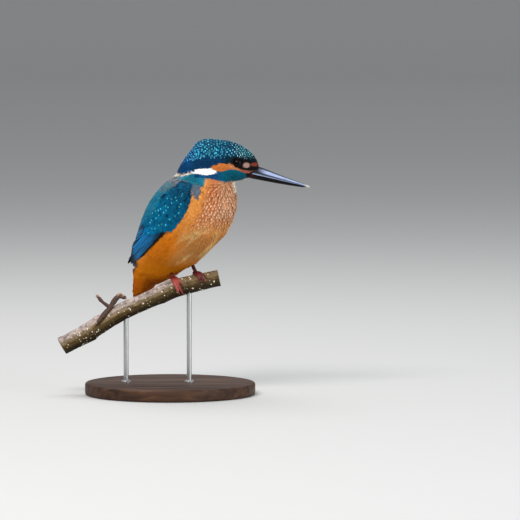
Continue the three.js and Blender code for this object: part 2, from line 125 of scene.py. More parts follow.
class Finish:
    """A material being put together: it makes nodes and links them as they are asked for."""

    def __init__(self, name, roughness=0.6, **constants):
        self.material = bpy.data.materials.new(name)
        self.material.use_nodes = True
        self.tree = self.material.node_tree
        self.shader = self.tree.nodes["Principled BSDF"]
        self.shader.inputs["Roughness"].default_value = roughness
        for socket, value in constants.items():
            self.shader.inputs[socket.replace("_", " ")].default_value = value

    def node(self, kind, inputs=None, **settings):
        made = self.tree.nodes.new(kind)
        for key, value in settings.items():
            setattr(made, key, value)
        for key, value in (inputs or {}).items():
            self.put(value, made.inputs[key])
        return made

    def put(self, value, socket):
        if isinstance(value, bpy.types.NodeSocket):
            self.tree.links.new(value, socket)
        elif isinstance(value, (tuple, list)) and socket.type == "RGBA":
            socket.default_value = (*value[:3], 1)
        else:
            socket.default_value = value

    def math(self, operation, a, b=0.0, c=0.0, clamp=False):
        return self.node(
            "ShaderNodeMath", {0: a, 1: b, 2: c}, operation=operation, use_clamp=clamp
        ).outputs[0]

    def mix(self, factor, a, b, blend="MIX"):
        made = self.node("ShaderNodeMix", data_type="RGBA", blend_type=blend, clamp_factor=True)
        for socket, value in zip((made.inputs[0], made.inputs[6], made.inputs[7]), (factor, a, b)):
            self.put(value, socket)
        return made.outputs[2]

    def between(self, value, low, high, to_low=0.0, to_high=1.0):
        """Smoothly turns low..high into to_low..to_high, and holds the ends."""
        return self.node(
            "ShaderNodeMapRange",
            {0: value, 1: low, 2: high, 3: to_low, 4: to_high},
            interpolation_type="SMOOTHSTEP",
        ).outputs[0]

    def noise(self, coordinates, scale, detail=3.0, distortion=0.0):
        return self.node(
            "ShaderNodeTexNoise",
            {"Vector": coordinates, "Scale": scale, "Detail": detail, "Distortion": distortion},
        ).outputs["Fac"]

    def ramp(self, factor, *stops):
        made = self.node("ShaderNodeValToRGB", {0: factor})
        elements = made.color_ramp.elements
        while len(elements) < len(stops):
            elements.new(0.5)
        for element, (at, colour) in zip(elements, stops):
            element.position = at
            element.color = (*colour, 1)
        return made.outputs[0]

    @property
    def object_place(self):
        return self.node("ShaderNodeTexCoord").outputs["Object"]

    def stretched(self, coordinates, *scale):
        return self.node("ShaderNodeMapping", {0: coordinates, "Scale": scale}).outputs[0]

    def x_of(self, coordinates):
        return self.node("ShaderNodeSeparateXYZ", {0: coordinates}).outputs[0]

    def uv(self, name):
        made = self.node("ShaderNodeUVMap", uv_map=name)
        split = self.node("ShaderNodeSeparateXYZ", {0: made.outputs[0]})
        return split.outputs[0], split.outputs[1]

    def attribute(self, name):
        return self.node("ShaderNodeAttribute", attribute_name=name).outputs

    def bump(self, height, depth, strength=1.0):
        made = self.node("ShaderNodeBump", {"Height": height, "Strength": strength, "Distance": depth})
        self.put(made.outputs[0], self.shader.inputs["Normal"])

    def colour(self, value):
        self.put(value, self.shader.inputs["Base Color"])

    def rough(self, value):
        self.put(value, self.shader.inputs["Roughness"])

    def grained(self, scale, dark, light, depth, detail=2.0):
        """A fine, even grain between two colours, that is felt as well as seen."""
        grain = self.noise(self.object_place, scale, detail)
        self.colour(self.mix(grain, dark, light))
        self.bump(grain, depth, 0.6)


# %% Mesh helpers
def piece_from(bm, name, *finishes, smooth_angle=40):
    mesh = bpy.data.meshes.new(name)
    bm.to_mesh(mesh)
    bm.free()
    for finish in finishes:
        mesh.materials.append(finish.material)
    mesh.shade_smooth()
    if smooth_angle < 180:
        mesh.set_sharp_from_angle(angle=math.radians(smooth_angle))
    piece = bpy.data.objects.new(name, mesh)
    scene.collection.objects.link(piece)
    return piece


def keep_values(piece, name, values):
    """Stores a number at each point of a piece, for its material to read."""
    stored = piece.data.attributes.new(name, "FLOAT", "POINT")
    stored.data.foreach_set("value", np.asarray(values, np.float32))


def points_of(bm):
    """A bmesh's points, in mm, and its normals."""
    return np.array([v.co for v in bm.verts]) / MM, np.array([v.normal for v in bm.verts])


def move_to(bm, spots):
    for vert, spot in zip(bm.verts, spots * MM):
        vert.co = spot


def relax(bm, times, factor=0.5):
    for _ in range(times):
        bmesh.ops.smooth_vert(bm, verts=bm.verts, factor=factor)
    bm.normal_update()


def tree_of(spots):
    """A search tree for the nearest of many places."""
    tree = KDTree(len(spots))
    for i, spot in enumerate(spots):
        tree.insert(spot, i)
    tree.balance()
    return tree


def wrapped_grid(bm, along, around, place):
    """A closed tube rolled from a grid: place(u, v) is the point u of the way along, v of the way round."""
    made = bmesh.ops.create_grid(bm, x_segments=along, y_segments=around, size=0.5)["verts"]
    for vert in made:
        vert.co = Vector(place(vert.co.x + 0.5, vert.co.y + 0.5))
    bmesh.ops.remove_doubles(bm, verts=made, dist=1e-7)
    kept = [v for v in made if v.is_valid]
    rims = {e for v in kept for e in v.link_edges if e.is_boundary}
    bmesh.ops.holes_fill(bm, edges=list(rims), sides=0)
    bmesh.ops.recalc_face_normals(bm, faces=list({f for v in kept for f in v.link_faces}))


def smooth_row(rows, t):
    """The row t of the way through a table of numbers, on a smooth curve through them."""
    rows = np.asarray(rows, float)
    at = np.clip(t, 0, 1) * (len(rows) - 1)
    i = np.minimum(np.floor(at).astype(int), len(rows) - 2)
    f = (at - i)[..., None]
    a, b, c, d = (rows[np.clip(i + k, 0, len(rows) - 1)] for k in (-1, 0, 1, 2))
    return 0.5 * (
        2 * b + (c - a) * f + (2 * a - 5 * b + 4 * c - d) * f**2 + (3 * b - a - 3 * c + d) * f**3
    )


def read_off(table, x):
    """The height at x of a line drawn through a table of points."""
    return np.interp(x, *np.array(table, float).T)


def arc_of(path):
    """How far each point of a path is from the path's start."""
    return np.concatenate([[0], np.cumsum(np.linalg.norm(np.diff(path, axis=0), axis=1))])


def ease(low, high, value):
    """A soft step from 0 at low to 1 at high; with low above high it falls."""
    step = np.clip((value - low) / (high - low), 0, 1)
    return step * step * (3 - 2 * step)


# %% Floor
FLOOR_REACH = 4.6
FLOOR_BEND = 1.2
FLOOR_STEPS = 8
FLOOR_GAP = 0.0002
floor_finish = Finish("studio floor", roughness=0.9)
floor_finish.colour((0.5, 0.495, 0.485))
bm = bmesh.new()
profile = [Vector((0, 0, 0)), Vector((FLOOR_REACH, 0, 0))]
for step in range(1, FLOOR_STEPS + 1):
    bend = step / FLOOR_STEPS * math.pi / 2
    out, up = FLOOR_BEND * math.sin(bend), FLOOR_BEND * (1 - math.cos(bend))
    profile.append(Vector((FLOOR_REACH + out, 0, up)))
line = [bm.verts.new(spot) for spot in profile]
edges = [bm.edges.new(pair) for pair in zip(line, line[1:])]
bmesh.ops.spin(bm, geom=line + edges, cent=(0, 0, 0), axis=(0, 0, 1), angle=2 * math.pi, steps=96,
               use_merge=True)
bmesh.ops.remove_doubles(bm, verts=bm.verts, dist=1e-5)
bmesh.ops.translate(bm, verts=bm.verts, vec=(0, 0, -FLOOR_GAP))
bmesh.ops.recalc_face_normals(bm, faces=bm.faces)
floor = piece_from(bm, "floor", floor_finish, smooth_angle=180)

# %% [markdown]
# ## Skin
# A plucked bird is one closed form. The solids of head, neck, trunk, tail and wings touch but do not
# join, so copies of them are swollen by a hair, fused with a voxel remesh, and smoothed: that gives the
# outline of the coat. The skin is the same shape pulled inwards by the coat's depth at each place.


# %% Frames of reference
HEAD_AT = np.array((34, -6.5, 158.4))
TRUNK_AT = np.array((11.6, 1.5))
TURN = math.radians(32)
EYE_AT = {side: np.array((46.0, -6.5 + side * 8.8, 158.5)) for side in (-1, 1)}
EYE_RADIUS = 3.8
EYE_OPEN = 2.85  # the part of the ball that the lids leave free, as a radius


def in_trunk(p):
    """Points, in mm, seen from the trunk: x forwards, y to the bird's left, z up."""
    x, y = p[..., 0] - TRUNK_AT[0], p[..., 1] - TRUNK_AT[1]
    c, s = math.cos(TURN), math.sin(TURN)
    return np.stack([c * x - s * y, s * x + c * y, p[..., 2]], -1)


def from_trunk(q, offset=True):
    """The same, back to the shared frame. Without the offset it turns directions."""
    c, s = math.cos(TURN), math.sin(TURN)
    x, y = c * q[..., 0] + s * q[..., 1], -s * q[..., 0] + c * q[..., 1]
    if offset:
        x, y = x + TRUNK_AT[0], y + TRUNK_AT[1]
    return np.stack([x, y, q[..., 2]], -1)


def trunk_spot(x, y, z):
    """A place given in the trunk's frame."""
    return from_trunk(np.array((x, y, z)))


def trunk_way(x, y, z):
    """A direction given in the trunk's frame."""
    return from_trunk(np.array((x, y, z)), offset=False)


# %% [markdown]
# Feathers have a lie: from the bill back over the head, down the throat and breast, and back along the
# flanks to the tail. A short table of places on the bird gives the direction there, with the depth of
# the coat and the length and half-width of a feather. Everywhere else is a blend of the nearest places.

# %% The lie of the coat
# place (head "H" or trunk "T"), x, y, z, direction x, y, z, depth, length, half-width, all in mm
LIE = [
    ("H", 26.0, 0, -1.5, -0.5, 0, 0.85, 0.5, 1.8, 0.5),
    ("H", 21.0, 0, 6.5, -0.8, 0, 0.55, 0.8, 2.8, 0.8),
    ("H", 12.0, 0, 12.5, -0.95, 0, 0.3, 1.1, 4.0, 1.15),
    ("H", -4.0, 0, 15.8, -1, 0, 0, 1.1, 5.0, 1.35),
    ("H", -15.0, 0, 12.5, -0.8, 0, -0.55, 1.3, 5.6, 1.35),
    ("H", -22.0, 0, 3.0, -0.62, 0, -0.78, 1.4, 5.8, 1.3),
    ("H", -28.0, 0, -7.0, -0.62, 0, -0.78, 1.4, 6.0, 1.3),
    ("H", 21.0, 8, -1.0, -1, 0, 0.05, 0.4, 1.5, 0.36),
    ("H", 15.5, 10, 5.0, -1, 0, 0.15, 0.5, 1.9, 0.42),
    ("H", 8.0, 12.4, 4.5, -1, 0, 0.05, 0.7, 2.6, 0.5),
    ("H", 4.0, 13.2, -1.5, -1, 0, -0.05, 0.8, 3.0, 0.42),
    ("H", -6.0, 13, 3.0, -1, 0, -0.1, 0.95, 4.6, 1.0),
    ("H", -4.0, 13.4, -4.5, -1, 0, -0.12, 1.0, 3.4, 0.46),
    ("H", -13.0, 12.2, -5.5, -1, 0, -0.2, 1.3, 4.0, 0.5),
    ("H", 17.0, 8.5, -7.5, -1, 0, -0.05, 0.5, 1.7, 0.38),
    ("H", 6.0, 11.5, -9.5, -1, 0, -0.15, 0.8, 3.0, 0.5),
    ("H", -6.0, 12.5, -11.0, -0.95, 0, -0.3, 1.1, 4.0, 0.6),
    ("H", 18.0, 0, -11.5, -0.95, 0, -0.3, 0.6, 2.4, 0.5),
    ("H", 9.0, 4, -16.0, -0.5, 0, -0.85, 1.3, 4.2, 0.7),
    ("T", 33.5, 0, 143, 0.1, 0, -1, 1.3, 5.2, 1.25),
    ("T", 37.0, 0, 130, -0.1, 0, -1, 1.4, 5.6, 1.35),
    ("T", 31.0, 0, 114, -0.45, 0, -0.9, 1.5, 7.0, 1.4),
    ("T", 10.0, 0, 97, -0.82, 0, -0.57, 1.6, 8.5, 1.3),
    ("T", -12.0, 0, 85, -0.9, 0, -0.45, 1.4, 8.5, 1.3),
    ("T", -26.0, 0, 78, -0.66, 0, -0.75, 1.1, 8.0, 1.5),
    ("T", 24.0, 19, 136, -0.3, 0, -0.95, 1.3, 5.6, 1.25),
    ("T", 10.0, 25, 122, -0.55, 0, -0.83, 1.2, 7.5, 1.4),
    ("T", -8.0, 21, 101, -0.74, 0, -0.67, 1.15, 8.5, 1.4),
    ("T", -24.0, 14, 86, -0.68, 0, -0.73, 1.1, 7.5, 1.4),
    ("T", -8.0, 11, 86, -0.75, 0, -0.66, 1.3, 7.5, 1.2),
    ("T", 14.0, 17, 148, -0.6, 0, -0.8, 1.4, 4.8, 1.2),
    ("T", -6.0, 0, 149, -0.62, 0, -0.78, 1.6, 6.0, 1.6),
    ("T", -24.0, 0, 126, -0.42, 0, -0.9, 1.2, 6.5, 1.6),
    ("T", -36.0, 0, 98, -0.25, 0, -0.97, 1.3, 7.0, 1.6),
    ("T", -39.0, 0, 84, 0, 0, -1, 1.0, 8.0, 1.7),
    ("T", 8.0, 24, 138, -0.66, 0, -0.75, 0.9, 5.6, 1.9),
    ("T", -8.0, 25, 121, -0.74, 0, -0.67, 0.9, 7.0, 2.2),
    ("T", -22.0, 20, 107, -0.75, 0, -0.66, 0.9, 7.5, 2.3),
    ("T", -36.0, 12, 95, -0.76, 0, -0.65, 0.7, 7.0, 2.0),
    ("T", -35.0, 9, 86, -0.22, 0, -0.97, 0.5, 5.5, 1.3),
    ("T", -34.0, 10, 77, -0.05, 0, -1, 0.5, 4.5, 1.2),
    ("T", -37.0, 7, 68, 0.02, 0, -1, 0.4, 3.5, 1.1),
]


def lie_table():
    rows = []
    for place, x, y, z, dx, dy, dz, *sizes in LIE:
        for side in {-1, 1} if y else {1}:
            spot, way = np.array((x, side * y, z), float), np.array((dx, side * dy, dz), float)
            if place == "H":
                spot = spot + HEAD_AT
            else:
                spot, way = from_trunk(spot), from_trunk(way, offset=False)
            rows.append((*spot, *(way / np.linalg.norm(way)), *sizes))
    return np.array(sorted(rows))


LIE_ROWS = lie_table()


def lie_at(p):
    """Direction, depth, length and half-width of the coat at points, in mm."""
    gap = ((p[:, None, :] - LIE_ROWS[None, :, :3]) ** 2).sum(-1)
    weight = 1 / (gap + 4.0) ** 2.2
    weight /= weight.sum(1, keepdims=True)
    blend = weight @ LIE_ROWS[:, 3:]
    return blend[:, :3], blend[:, 3], blend[:, 4], blend[:, 5]


print("places in the lie table:", len(LIE_ROWS))

# %% Fuse the solids into the outline of the coat
SWELL = 0.32
OUTLINE_VOXEL = 0.8
THICK = 30.0  # a wall this thick, in mm, never limits the coat
FLESH = ["head", "neck", "trunk", "tail", "wing_right", "wing_left"]


def keep_biggest(bm):
    """Drops the closed pockets that a remesh leaves inside, and any crumbs."""
    bm.verts.ensure_lookup_table()
    seen, islands = set(), []
    for start in bm.verts:
        if start.index in seen:
            continue
        seen.add(start.index)
        island, front = [start], [start]
        while front:
            vert = front.pop()
            for edge in vert.link_edges:
                other = edge.other_vert(vert)
                if other.index not in seen:
                    seen.add(other.index)
                    island.append(other)
                    front.append(other)
        islands.append(island)
    islands.sort(key=len)
    for island in islands[:-1]:
        bmesh.ops.delete(bm, geom=island, context="VERTS")


def fused(names, voxel, swell=0.0, extra=None, whole=False):
    """A bmesh of CAD nodes, swollen, with any extra shapes, fused by a voxel remesh."""
    bm = bmesh.new()
    for name in names:
        part = bmesh.new()
        part.from_mesh(nodes[name].data)
        bmesh.ops.remove_doubles(part, verts=part.verts, dist=2e-6)
        part.normal_update()
        for vert in part.verts:
            vert.co += vert.normal * swell * MM
        swollen = bpy.data.meshes.new("swollen")
        part.to_mesh(swollen)
        part.free()
        bm.from_mesh(swollen)
        bpy.data.meshes.remove(swollen)
    if extra:
        extra(bm)
    mesh = bpy.data.meshes.new("to fuse")
    bm.to_mesh(mesh)
    bm.free()
    thing = bpy.data.objects.new("to fuse", mesh)
    scene.collection.objects.link(thing)
    remesh = thing.modifiers.new("fuse", "REMESH")
    remesh.mode = "VOXEL"
    remesh.voxel_size = voxel * MM
    bpy.context.view_layer.update()
    result = bpy.data.meshes.new_from_object(thing.evaluated_get(bpy.context.evaluated_depsgraph_get()))
    bpy.data.objects.remove(thing)
    bpy.data.meshes.remove(mesh)
    bm = bmesh.new()
    bm.from_mesh(result)
    bpy.data.meshes.remove(result)
    if not whole:
        keep_biggest(bm)
    return bm


def fill_hollows(bm):
    """Plugs for the eye sockets and the bill's root, so that the skin runs on behind them."""
    for centre, radius in [
        (EYE_AT[-1] + (0, 1.2, 0), EYE_RADIUS),
        (EYE_AT[1] - (0, 1.2, 0), EYE_RADIUS),
        (HEAD_AT + (19.0, 0, -5.2), 5.4),
        (HEAD_AT + (13.0, 0, -4.5), 6.6),
    ]:
        bmesh.ops.create_icosphere(
            bm, subdivisions=3, radius=radius * MM, matrix=Matrix.Translation(Vector(centre) * MM)
        )


outline = fused(FLESH, OUTLINE_VOXEL, SWELL, fill_hollows)
relax(outline, 14)
print("outline vertices:", len(outline.verts))

# %% Pull the skin in by the coat's depth
outline_tree = BVHTree.FromBMesh(outline)
points, normals = points_of(outline)
_, depth, _, _ = lie_at(points)
room = np.full(len(points), THICK)
for i, vert in enumerate(outline.verts):
    inward = -vert.normal
    hit = outline_tree.ray_cast(vert.co + inward * 1e-5, inward, 0.01)
    if hit[0] is not None:
        room[i] = hit[3] / MM
sunk = np.minimum(depth + SWELL * 0.6, 0.32 * room)
move_to(outline, points - normals * sunk[:, None])
relax(outline, 2, 0.4)
skin_points, skin_normals = points_of(outline)
skin_tree = tree_of(skin_points)
skin_bvh = BVHTree.FromBMesh(outline)


def on_skin(p):
    """The nearest places on the skin to points, with the skin's normals there."""
    found = np.array([skin_tree.find(q)[1] for q in p])
    normal = skin_normals[found]
    out = ((p - skin_points[found]) * normal).sum(1, keepdims=True)
    return p - normal * out, normal, found


# %% [markdown]
# ## Plumage colours
# Skin and feathers ask one function for their colour, so both carry the same markings. On the head the
# markings are drawn as outlines seen from the side, in mm from the head's centre, and hold for both
# sides. On the trunk the colour depends on the height and on how far round from the breast a place is.

# %% Markings of the head
EAR = [(-6.5, -2.8), (-4.4, -1.0), (-2.3, 0.1), (1.4, 0.4), (5.6, 0.0), (9.0, -1.3), (11.1, -2.5),
       (13.2, -3.8), (15.5, -4.7), (18.2, -5.1), (21.2, -5.7), (20.4, -6.5), (17.6, -6.3), (15.2, -5.9),
       (13.0, -4.9), (10.6, -4.0), (6.1, -3.9), (2.3, -4.9), (-1.0, -5.6), (-3.1, -4.8), (-5.0, -3.8)]
WHITE = [(-20.6, -6.3), (-17, -4.6), (-13.4, -3.5), (-9.3, -2.9), (-6.2, -3.4), (-2.3, -5.3), (-3, -6.6),
         (-5.6, -7.4), (-9.3, -8.0), (-13.3, -7.6), (-17, -7.2)]
CREAM = [(-33, -7.4), (-27, -6.8), (-24.3, -6.4), (-20.2, -5.5), (-16, -6.6), (-20.1, -7.8), (-24.2, -9.3),
         (-27, -9.9), (-33, -11.5)]
MALAR = [(18.4, -10.4), (18.4, -8.2), (17.4, -6.2), (15.2, -5.1), (13.0, -4.2), (10.3, -3.4),
         (6.1, -3.2), (2.3, -4.0), (-1.2, -4.6), (-5.2, -6.4), (-9.3, -7.2), (-13.3, -7.0), (-17, -7.6),
         (-17, -10.2), (-13.3, -9.8), (-7.9, -10.3), (-3.2, -11.1), (1.5, -12.5), (3.5, -12.9),
         (6.9, -12.9), (13.6, -11.6)]
NECK_SIDE = [(-30, -10.6), (-24.2, -8.6), (-20.1, -7.0), (-13, -6.8), (-10.9, -8.0), (-9.8, -10.4),
             (-11.2, -16.0), (-13.4, -16.6), (-16.3, -17.0), (-20.4, -15.6), (-24.5, -14.4), (-30, -13.4)]
SHOULDER_TUFT = [(-20.4, -14.6), (-13.6, -15.2), (-12.9, -19.9), (-14.6, -24.8), (-17, -23.4),
                 (-19.9, -18.6)]
THROAT = [(21, -10.4), (17, -10.7), (10.2, -12.2), (8.2, -13.2), (9, -20.5), (16, -22), (22, -14)]
CROWN = [(30, -4.2), (26.0, -1.0), (23.8, 0.4), (20.4, 1.2), (16.3, 2.2), (12.2, 2.6), (8.2, 0.0),
         (6.8, -1.6), (1.4, -1.0), (-2.7, -1.9), (-6.8, -3.9), (-11.6, -4.1), (-16.4, -5.5),
         (-19.7, -6.2), (-36, -6.2), (-40, 30), (40, 30)]
LORES = [(30, -3.6), (27.6, -0.8), (25.4, 0.6), (20.6, 1.7), (16, 2.9), (12, 4.0), (9.2, 3.9),
         (7.2, 1.8), (8.2, -0.3), (9.2, -1.4), (11.2, -2.5), (13.3, -3.9), (15.5, -4.7), (18.2, -5.0),
         (20.6, -5.4), (30, -4.6)]
GAPE = [(21.4, -5.4), (30, -4.4), (30, -12), (22.5, -11.0), (18.3, -10.5), (18.0, -8.4), (17.2, -6.6),
        (20.4, -6.6)]


def inside(shape, x, z, soft):
    """1 inside a closed shape and 0 outside it, with a soft step across its edge."""
    corners = np.array(shape, float)
    ends = np.roll(corners, -1, 0)
    p = np.stack([x, z], -1)[:, None, :]
    edge = (ends - corners)[None]
    t = np.clip(((p - corners) * edge).sum(-1) / (edge**2).sum(-1), 0, 1)
    gap = np.sqrt((((p - corners) - t[..., None] * edge) ** 2).sum(-1)).min(1)
    (x0, z0), (x1, z1) = corners.T[:, None, :], ends.T[:, None, :]
    crossing = ((z0 > z[:, None]) != (z1 > z[:, None])) & (
        x[:, None] < (x1 - x0) * (z[:, None] - z0) / (z1 - z0 + 1e-12) + x0
    )
    signed = np.where(crossing.sum(1) % 2 == 1, gap, -gap)
    step = np.clip(signed / soft * 0.5 + 0.5, 0, 1)
    return step * step * (3 - 2 * step)


def within(shape, h):
    """Which points, measured from the head's centre, are inside an outline seen from the side."""
    return inside(shape, h[:, 0], h[:, 2], 0.2) > 0.5


# %% [markdown]
# The folded wing has its own measure: how far a place is from the wrist towards the wing's tip, and how
# far it is above or below that line. Coverts, scapulars and flight feathers are placed by it.

# %% The wing's own measure
WING_EDGE = [(17, 144), (17.3, 135.7), (15.3, 131), (12.5, 125.5), (8.5, 120.1), (2.1, 114.7),
             (-6.7, 107.9), (-16.2, 101.1), (-26.7, 94.9), (-35, 90.2), (-44, 86)]
WING_OVER = [(-62, 98), (-52, 128), (-32, 146), (2, 147.5)]
BARE_BACK = [(80, 2.6), (90, 3.4), (98, 4.4), (108, 4.6), (120, 4.2), (134, 4.2), (147, 6)]
WRIST = np.array((17.0, 142.0))
WING_TIP = np.array((-43.0, 88.0))
WING_LENGTH = float(np.linalg.norm(WING_TIP - WRIST))
WING_WAY = (WING_TIP - WRIST) / WING_LENGTH
WING_UP = np.array((WING_WAY[1], -WING_WAY[0]))
WING_LOW = (np.array(WING_EDGE) - WRIST) @ np.stack([WING_WAY, WING_UP], 1)


def on_wing(t):
    """For points in the trunk's frame: their share in a wing, how far along it and how far above."""
    over_back = np.abs(t[:, 1]) - read_off(BARE_BACK, t[:, 2])
    part = inside(WING_EDGE + WING_OVER, t[:, 0], t[:, 2], 0.3) * ease(-0.4, 0.4, over_back)
    offset = t[:, [0, 2]] - WRIST
    return part, offset @ WING_WAY, offset @ WING_UP


SCAPULAR_FROM = [(-3, 7.5), (4, 9.0), (10, 9.4), (15, 10.8), (22, 9.6), (25.5, 7.2), (33, 6.4), (38.4, 8.4),
                 (54, 8.8), (62, 8.0), (72, 5)]
COVERTS_TO = [(-11, 30), (-8.2, 35), (-5.7, 39.5), (-2.6, 46), (-1.1, 49.5), (4.8, 53.5), (9, 57)]
SPOT_ROWS = [[(10, -4), (17, -6.6), (26, -5.6), (36.7, -3.8), (46, -1.4)],
             [(8, 0), (17.8, -0.3), (25, 0), (32.5, 1), (43.5, 6)],
             [(6.4, 1.7), (15, 4), (21.6, 3.1), (28.4, 4.2), (35.5, 7)], [(50, 4.6), (60, 5.4)]]


def round_trunk(t):
    """How far round from the middle of the breast points are, in degrees, the same on both sides."""
    centre = np.interp(t[:, 2], (80, 100, 127, 150), (-27, -13, 5, 14))
    return np.degrees(np.arctan2(np.abs(t[:, 1]), t[:, 0] - centre))


# %% Colours by place
SCREEN_INK = {
    "crown": (0, 58, 86), "forehead": (4, 100, 112), "nape": (4, 60, 104),
    "brow band": (0, 46, 80), "brow front": (0, 32, 44), "lores": (10, 7, 7),
    "lore spot": (164, 128, 118), "lore rust": (128, 56, 40), "gape": (40, 25, 27),
    "gape low": (26, 14, 13), "gape line": (164, 80, 66), "ear": (190, 106, 46),
    "ear front": (190, 118, 76), "white": (252, 250, 246), "cream": (218, 204, 186),
    "malar": (0, 88, 108), "malar back": (2, 62, 106), "neck side": (16, 106, 128),
    "tuft": (92, 106, 120), "mantle": (102, 106, 116), "throat": (244, 230, 212),
    "breast": (186, 112, 66), "breast middle": (190, 134, 98), "breast low": (196, 130, 74),
    "orange": (222, 146, 70), "deep orange": (198, 110, 18), "belly": (176, 120, 46),
    "pale belly": (226, 186, 122), "vent": (198, 114, 10), "undertail": (180, 94, 10),
    "shade under wing tip": (88, 68, 56), "wing front": (0, 71, 102), "wing": (0, 90, 126),
    "wing rear": (0, 120, 178), "wing rim and shadow line": (5, 6, 12), "scapular": (0, 108, 145),
    "back": (8, 140, 208), "rump": (36, 164, 224), "tail": (6, 58, 116),
}
INK = {name: dye(*values) for name, values in SCREEN_INK.items()}
noise.seed_set(5)  # so that the markings' borders wobble in the same way in every run
COLLAR = [(-16, 140), (-9, 137.4), (-5, 138.5), (-1.5, 140.2), (3.4, 142.3), (7.8, 145.6), (12, 147)]


def paint(base, *coats):
    """Lays named inks over a colour, one after another, each as strongly as its amount says."""
    for name, amount in coats:
        base = base + (INK[name] - base) * amount[:, None]
    return base


def plumage(p):
    """The ground colour of the plumage at points, in mm."""
    t = in_trunk(p)
    h = p - HEAD_AT
    wobble = np.array([noise.noise_vector(Vector(q) * 0.35) for q in p]) * 0.28
    cloud = np.array([noise.noise(Vector((q[0] * 0.1, q[1] * 0.1, q[2] * 0.05))) for q in p])
    hx, _, hz = (h + wobble).T
    round_ = round_trunk(t)
    z = t[:, 2]
    side = np.abs(t[:, 1])

    across = 0.57 * t[:, 0] - 0.82 * z
    brushed = np.array([noise.noise(Vector((a * 0.28, b * 0.16, c * 0.05))) for a, b, c in
                        zip(across, t[:, 1], 0.82 * t[:, 0] + 0.57 * z)])
    pale = ease(0.0, 0.35, brushed) * ease(118, 108, z) * ease(84, 92, z) * ease(62, 44, round_)
    colour = paint(
        np.tile(INK["orange"], (len(p), 1)),
        ("deep orange", ease(126, 104, z) * ease(30, 62, round_) * (1 - 0.4 * ease(96, 118, round_))),
        ("belly", ease(118, 104, z + 6 * cloud) * ease(50, 22, round_ + 12 * cloud)),
        ("breast", ease(111, 120, z + 2 * wobble[:, 1]) * ease(54, 38, round_ + 6 * wobble[:, 0])),
        ("breast middle", ease(116, 124, z) * ease(36, 16, round_)),
        ("breast low", ease(124, 114, z) * ease(50, 34, round_) * 0.7),
        ("pale belly", pale * 0.6),
        ("vent", ease(94, 86, z)),
        ("undertail", ease(83, 79, z)),
    )
    # the upper side of the trunk
    bare = read_off(BARE_BACK, z)
    upper = ease(128, 138, round_) * ease(76, 80, z)
    stripe = ease(bare + 2.0, bare + 0.6, side)
    colour = paint(
        colour,
        ("back", upper * stripe),
        ("rump", upper * ease(110, 98, z) * stripe),
        ("tail", ease(83, 82, z) * ease(-36.4, -37.0, t[:, 0]) * ease(6.6, 5.8, side)),
    )
    # the folded wing: its dark rim is partly the feathers' own black and partly painted shade along the lower
    # edge, and a painted shadow line runs under the scapulars' edge
    part, along, above = on_wing(t + wobble * 0.5)
    edge = read_off(SCAPULAR_FROM, along)
    low_edge = read_off(WING_LOW, along)
    # painted shade: a dark band along the wing's lower edge, partly its own dark feathers, and a painted
    # shadow line under the scapulars' edge
    rim = np.maximum(ease(1.5, 0.9, above - low_edge) * ease(22, 32, along), ease(71, 75, along))
    seam_shadow = 0.75 * ease(1.0, 0.3, np.abs(above - edge + 0.3)) * ease(30, 24, along) * ease(0, 4, along)
    feather = paint(
        np.tile(INK["wing front"], (len(p), 1)),
        ("wing", ease(6, 30, along)), ("wing rear", ease(34, 62, along)),
        ("scapular", ease(-1, 1, above - edge)), ("wing rim and shadow line", np.maximum(rim, seam_shadow)),
    )
    # painted shade: a grey-brown patch on the flank below the wing's tip
    shade_under_tip = ease(-10.5, -8.5, above) * ease(-2, -4, above) * ease(70.5, 73, along) * (side > 8.5)
    colour = paint(colour, ("shade under wing tip", shade_under_tip * (1 - part)))
    colour += (feather - colour) * part[:, None]
    collar = z - read_off(COLLAR, t[:, 0])
    colour = paint(colour, ("mantle", ease(-0.9, 0.7, collar) * ease(66, 84, round_) * ease(16, 10, t[:, 0])))
    # the head and neck
    near_head = ease(126, 132, p[:, 2])
    head_order = (
        ("neck side", NECK_SIDE, 0.8), ("tuft", SHOULDER_TUFT, 0.8), ("throat", THROAT, 0.9),
        ("crown", CROWN, 0.5), ("malar", MALAR, 0.35), ("cream", CREAM, 0.5), ("ear", EAR, 0.35),
        ("white", WHITE, 0.3), ("lores", LORES, 0.4), ("gape", GAPE, 0.3),
    )
    for name, shape, soft in head_order:
        amount = inside(shape, hx, hz, soft) * near_head
        if name in ("neck side", "tuft"):
            amount = amount * (1 - part)
        coats = [(name, amount)]
        if name == "crown":
            coats += [
                ("forehead", amount * ease(8, 20, hx)), ("nape", amount * ease(-8, -20, hx)),
                ("brow band", amount * ease(7, 4, hz) * ease(-22, -16, hx)),
                ("brow front", amount * ease(7, 4, hz) * ease(-2, 6, hx)),
            ]
        if name == "malar":
            coats += [("malar back", amount * ease(4, -4, hx))]
        if name == "ear":
            coats += [("ear front", amount * ease(4, 9, hx)), ("gape line", amount * ease(12, 15, hx))]
        if name == "gape":
            coats += [("gape low", amount * ease(-0.3, 0.3, -6.9 - 0.23 * (hx - 18.4) - hz))]
        colour = paint(colour, *coats)
    spot = 1 - ease(0.75, 1.25, np.hypot((hx - 17.9) / 2.25, (hz + 1.35) / 1.75))
    rust = 1 - ease(0.7, 1.3, np.hypot((hx - 23.4) / 2.5, (hz + 1.0) / 1.3))
    colour = paint(colour, ("lore rust", rust * near_head), ("lore spot", spot * near_head))
    return np.clip(colour * (1 + 0.14 * cloud[:, None]), 0, 1)


# %% Skin finish
skin_finish = Finish("bird skin", roughness=0.8, Specular_IOR_Level=0.08)
tone = skin_finish.attribute("tone")["Color"]
pores = skin_finish.noise(skin_finish.object_place, 1400)
shaded = skin_finish.mix(0.25, tone, (0, 0, 0))
skin_finish.colour(skin_finish.mix(skin_finish.between(pores, 0.3, 0.7), shaded, tone))
skin_finish.bump(pores, 0.0002, 0.6)

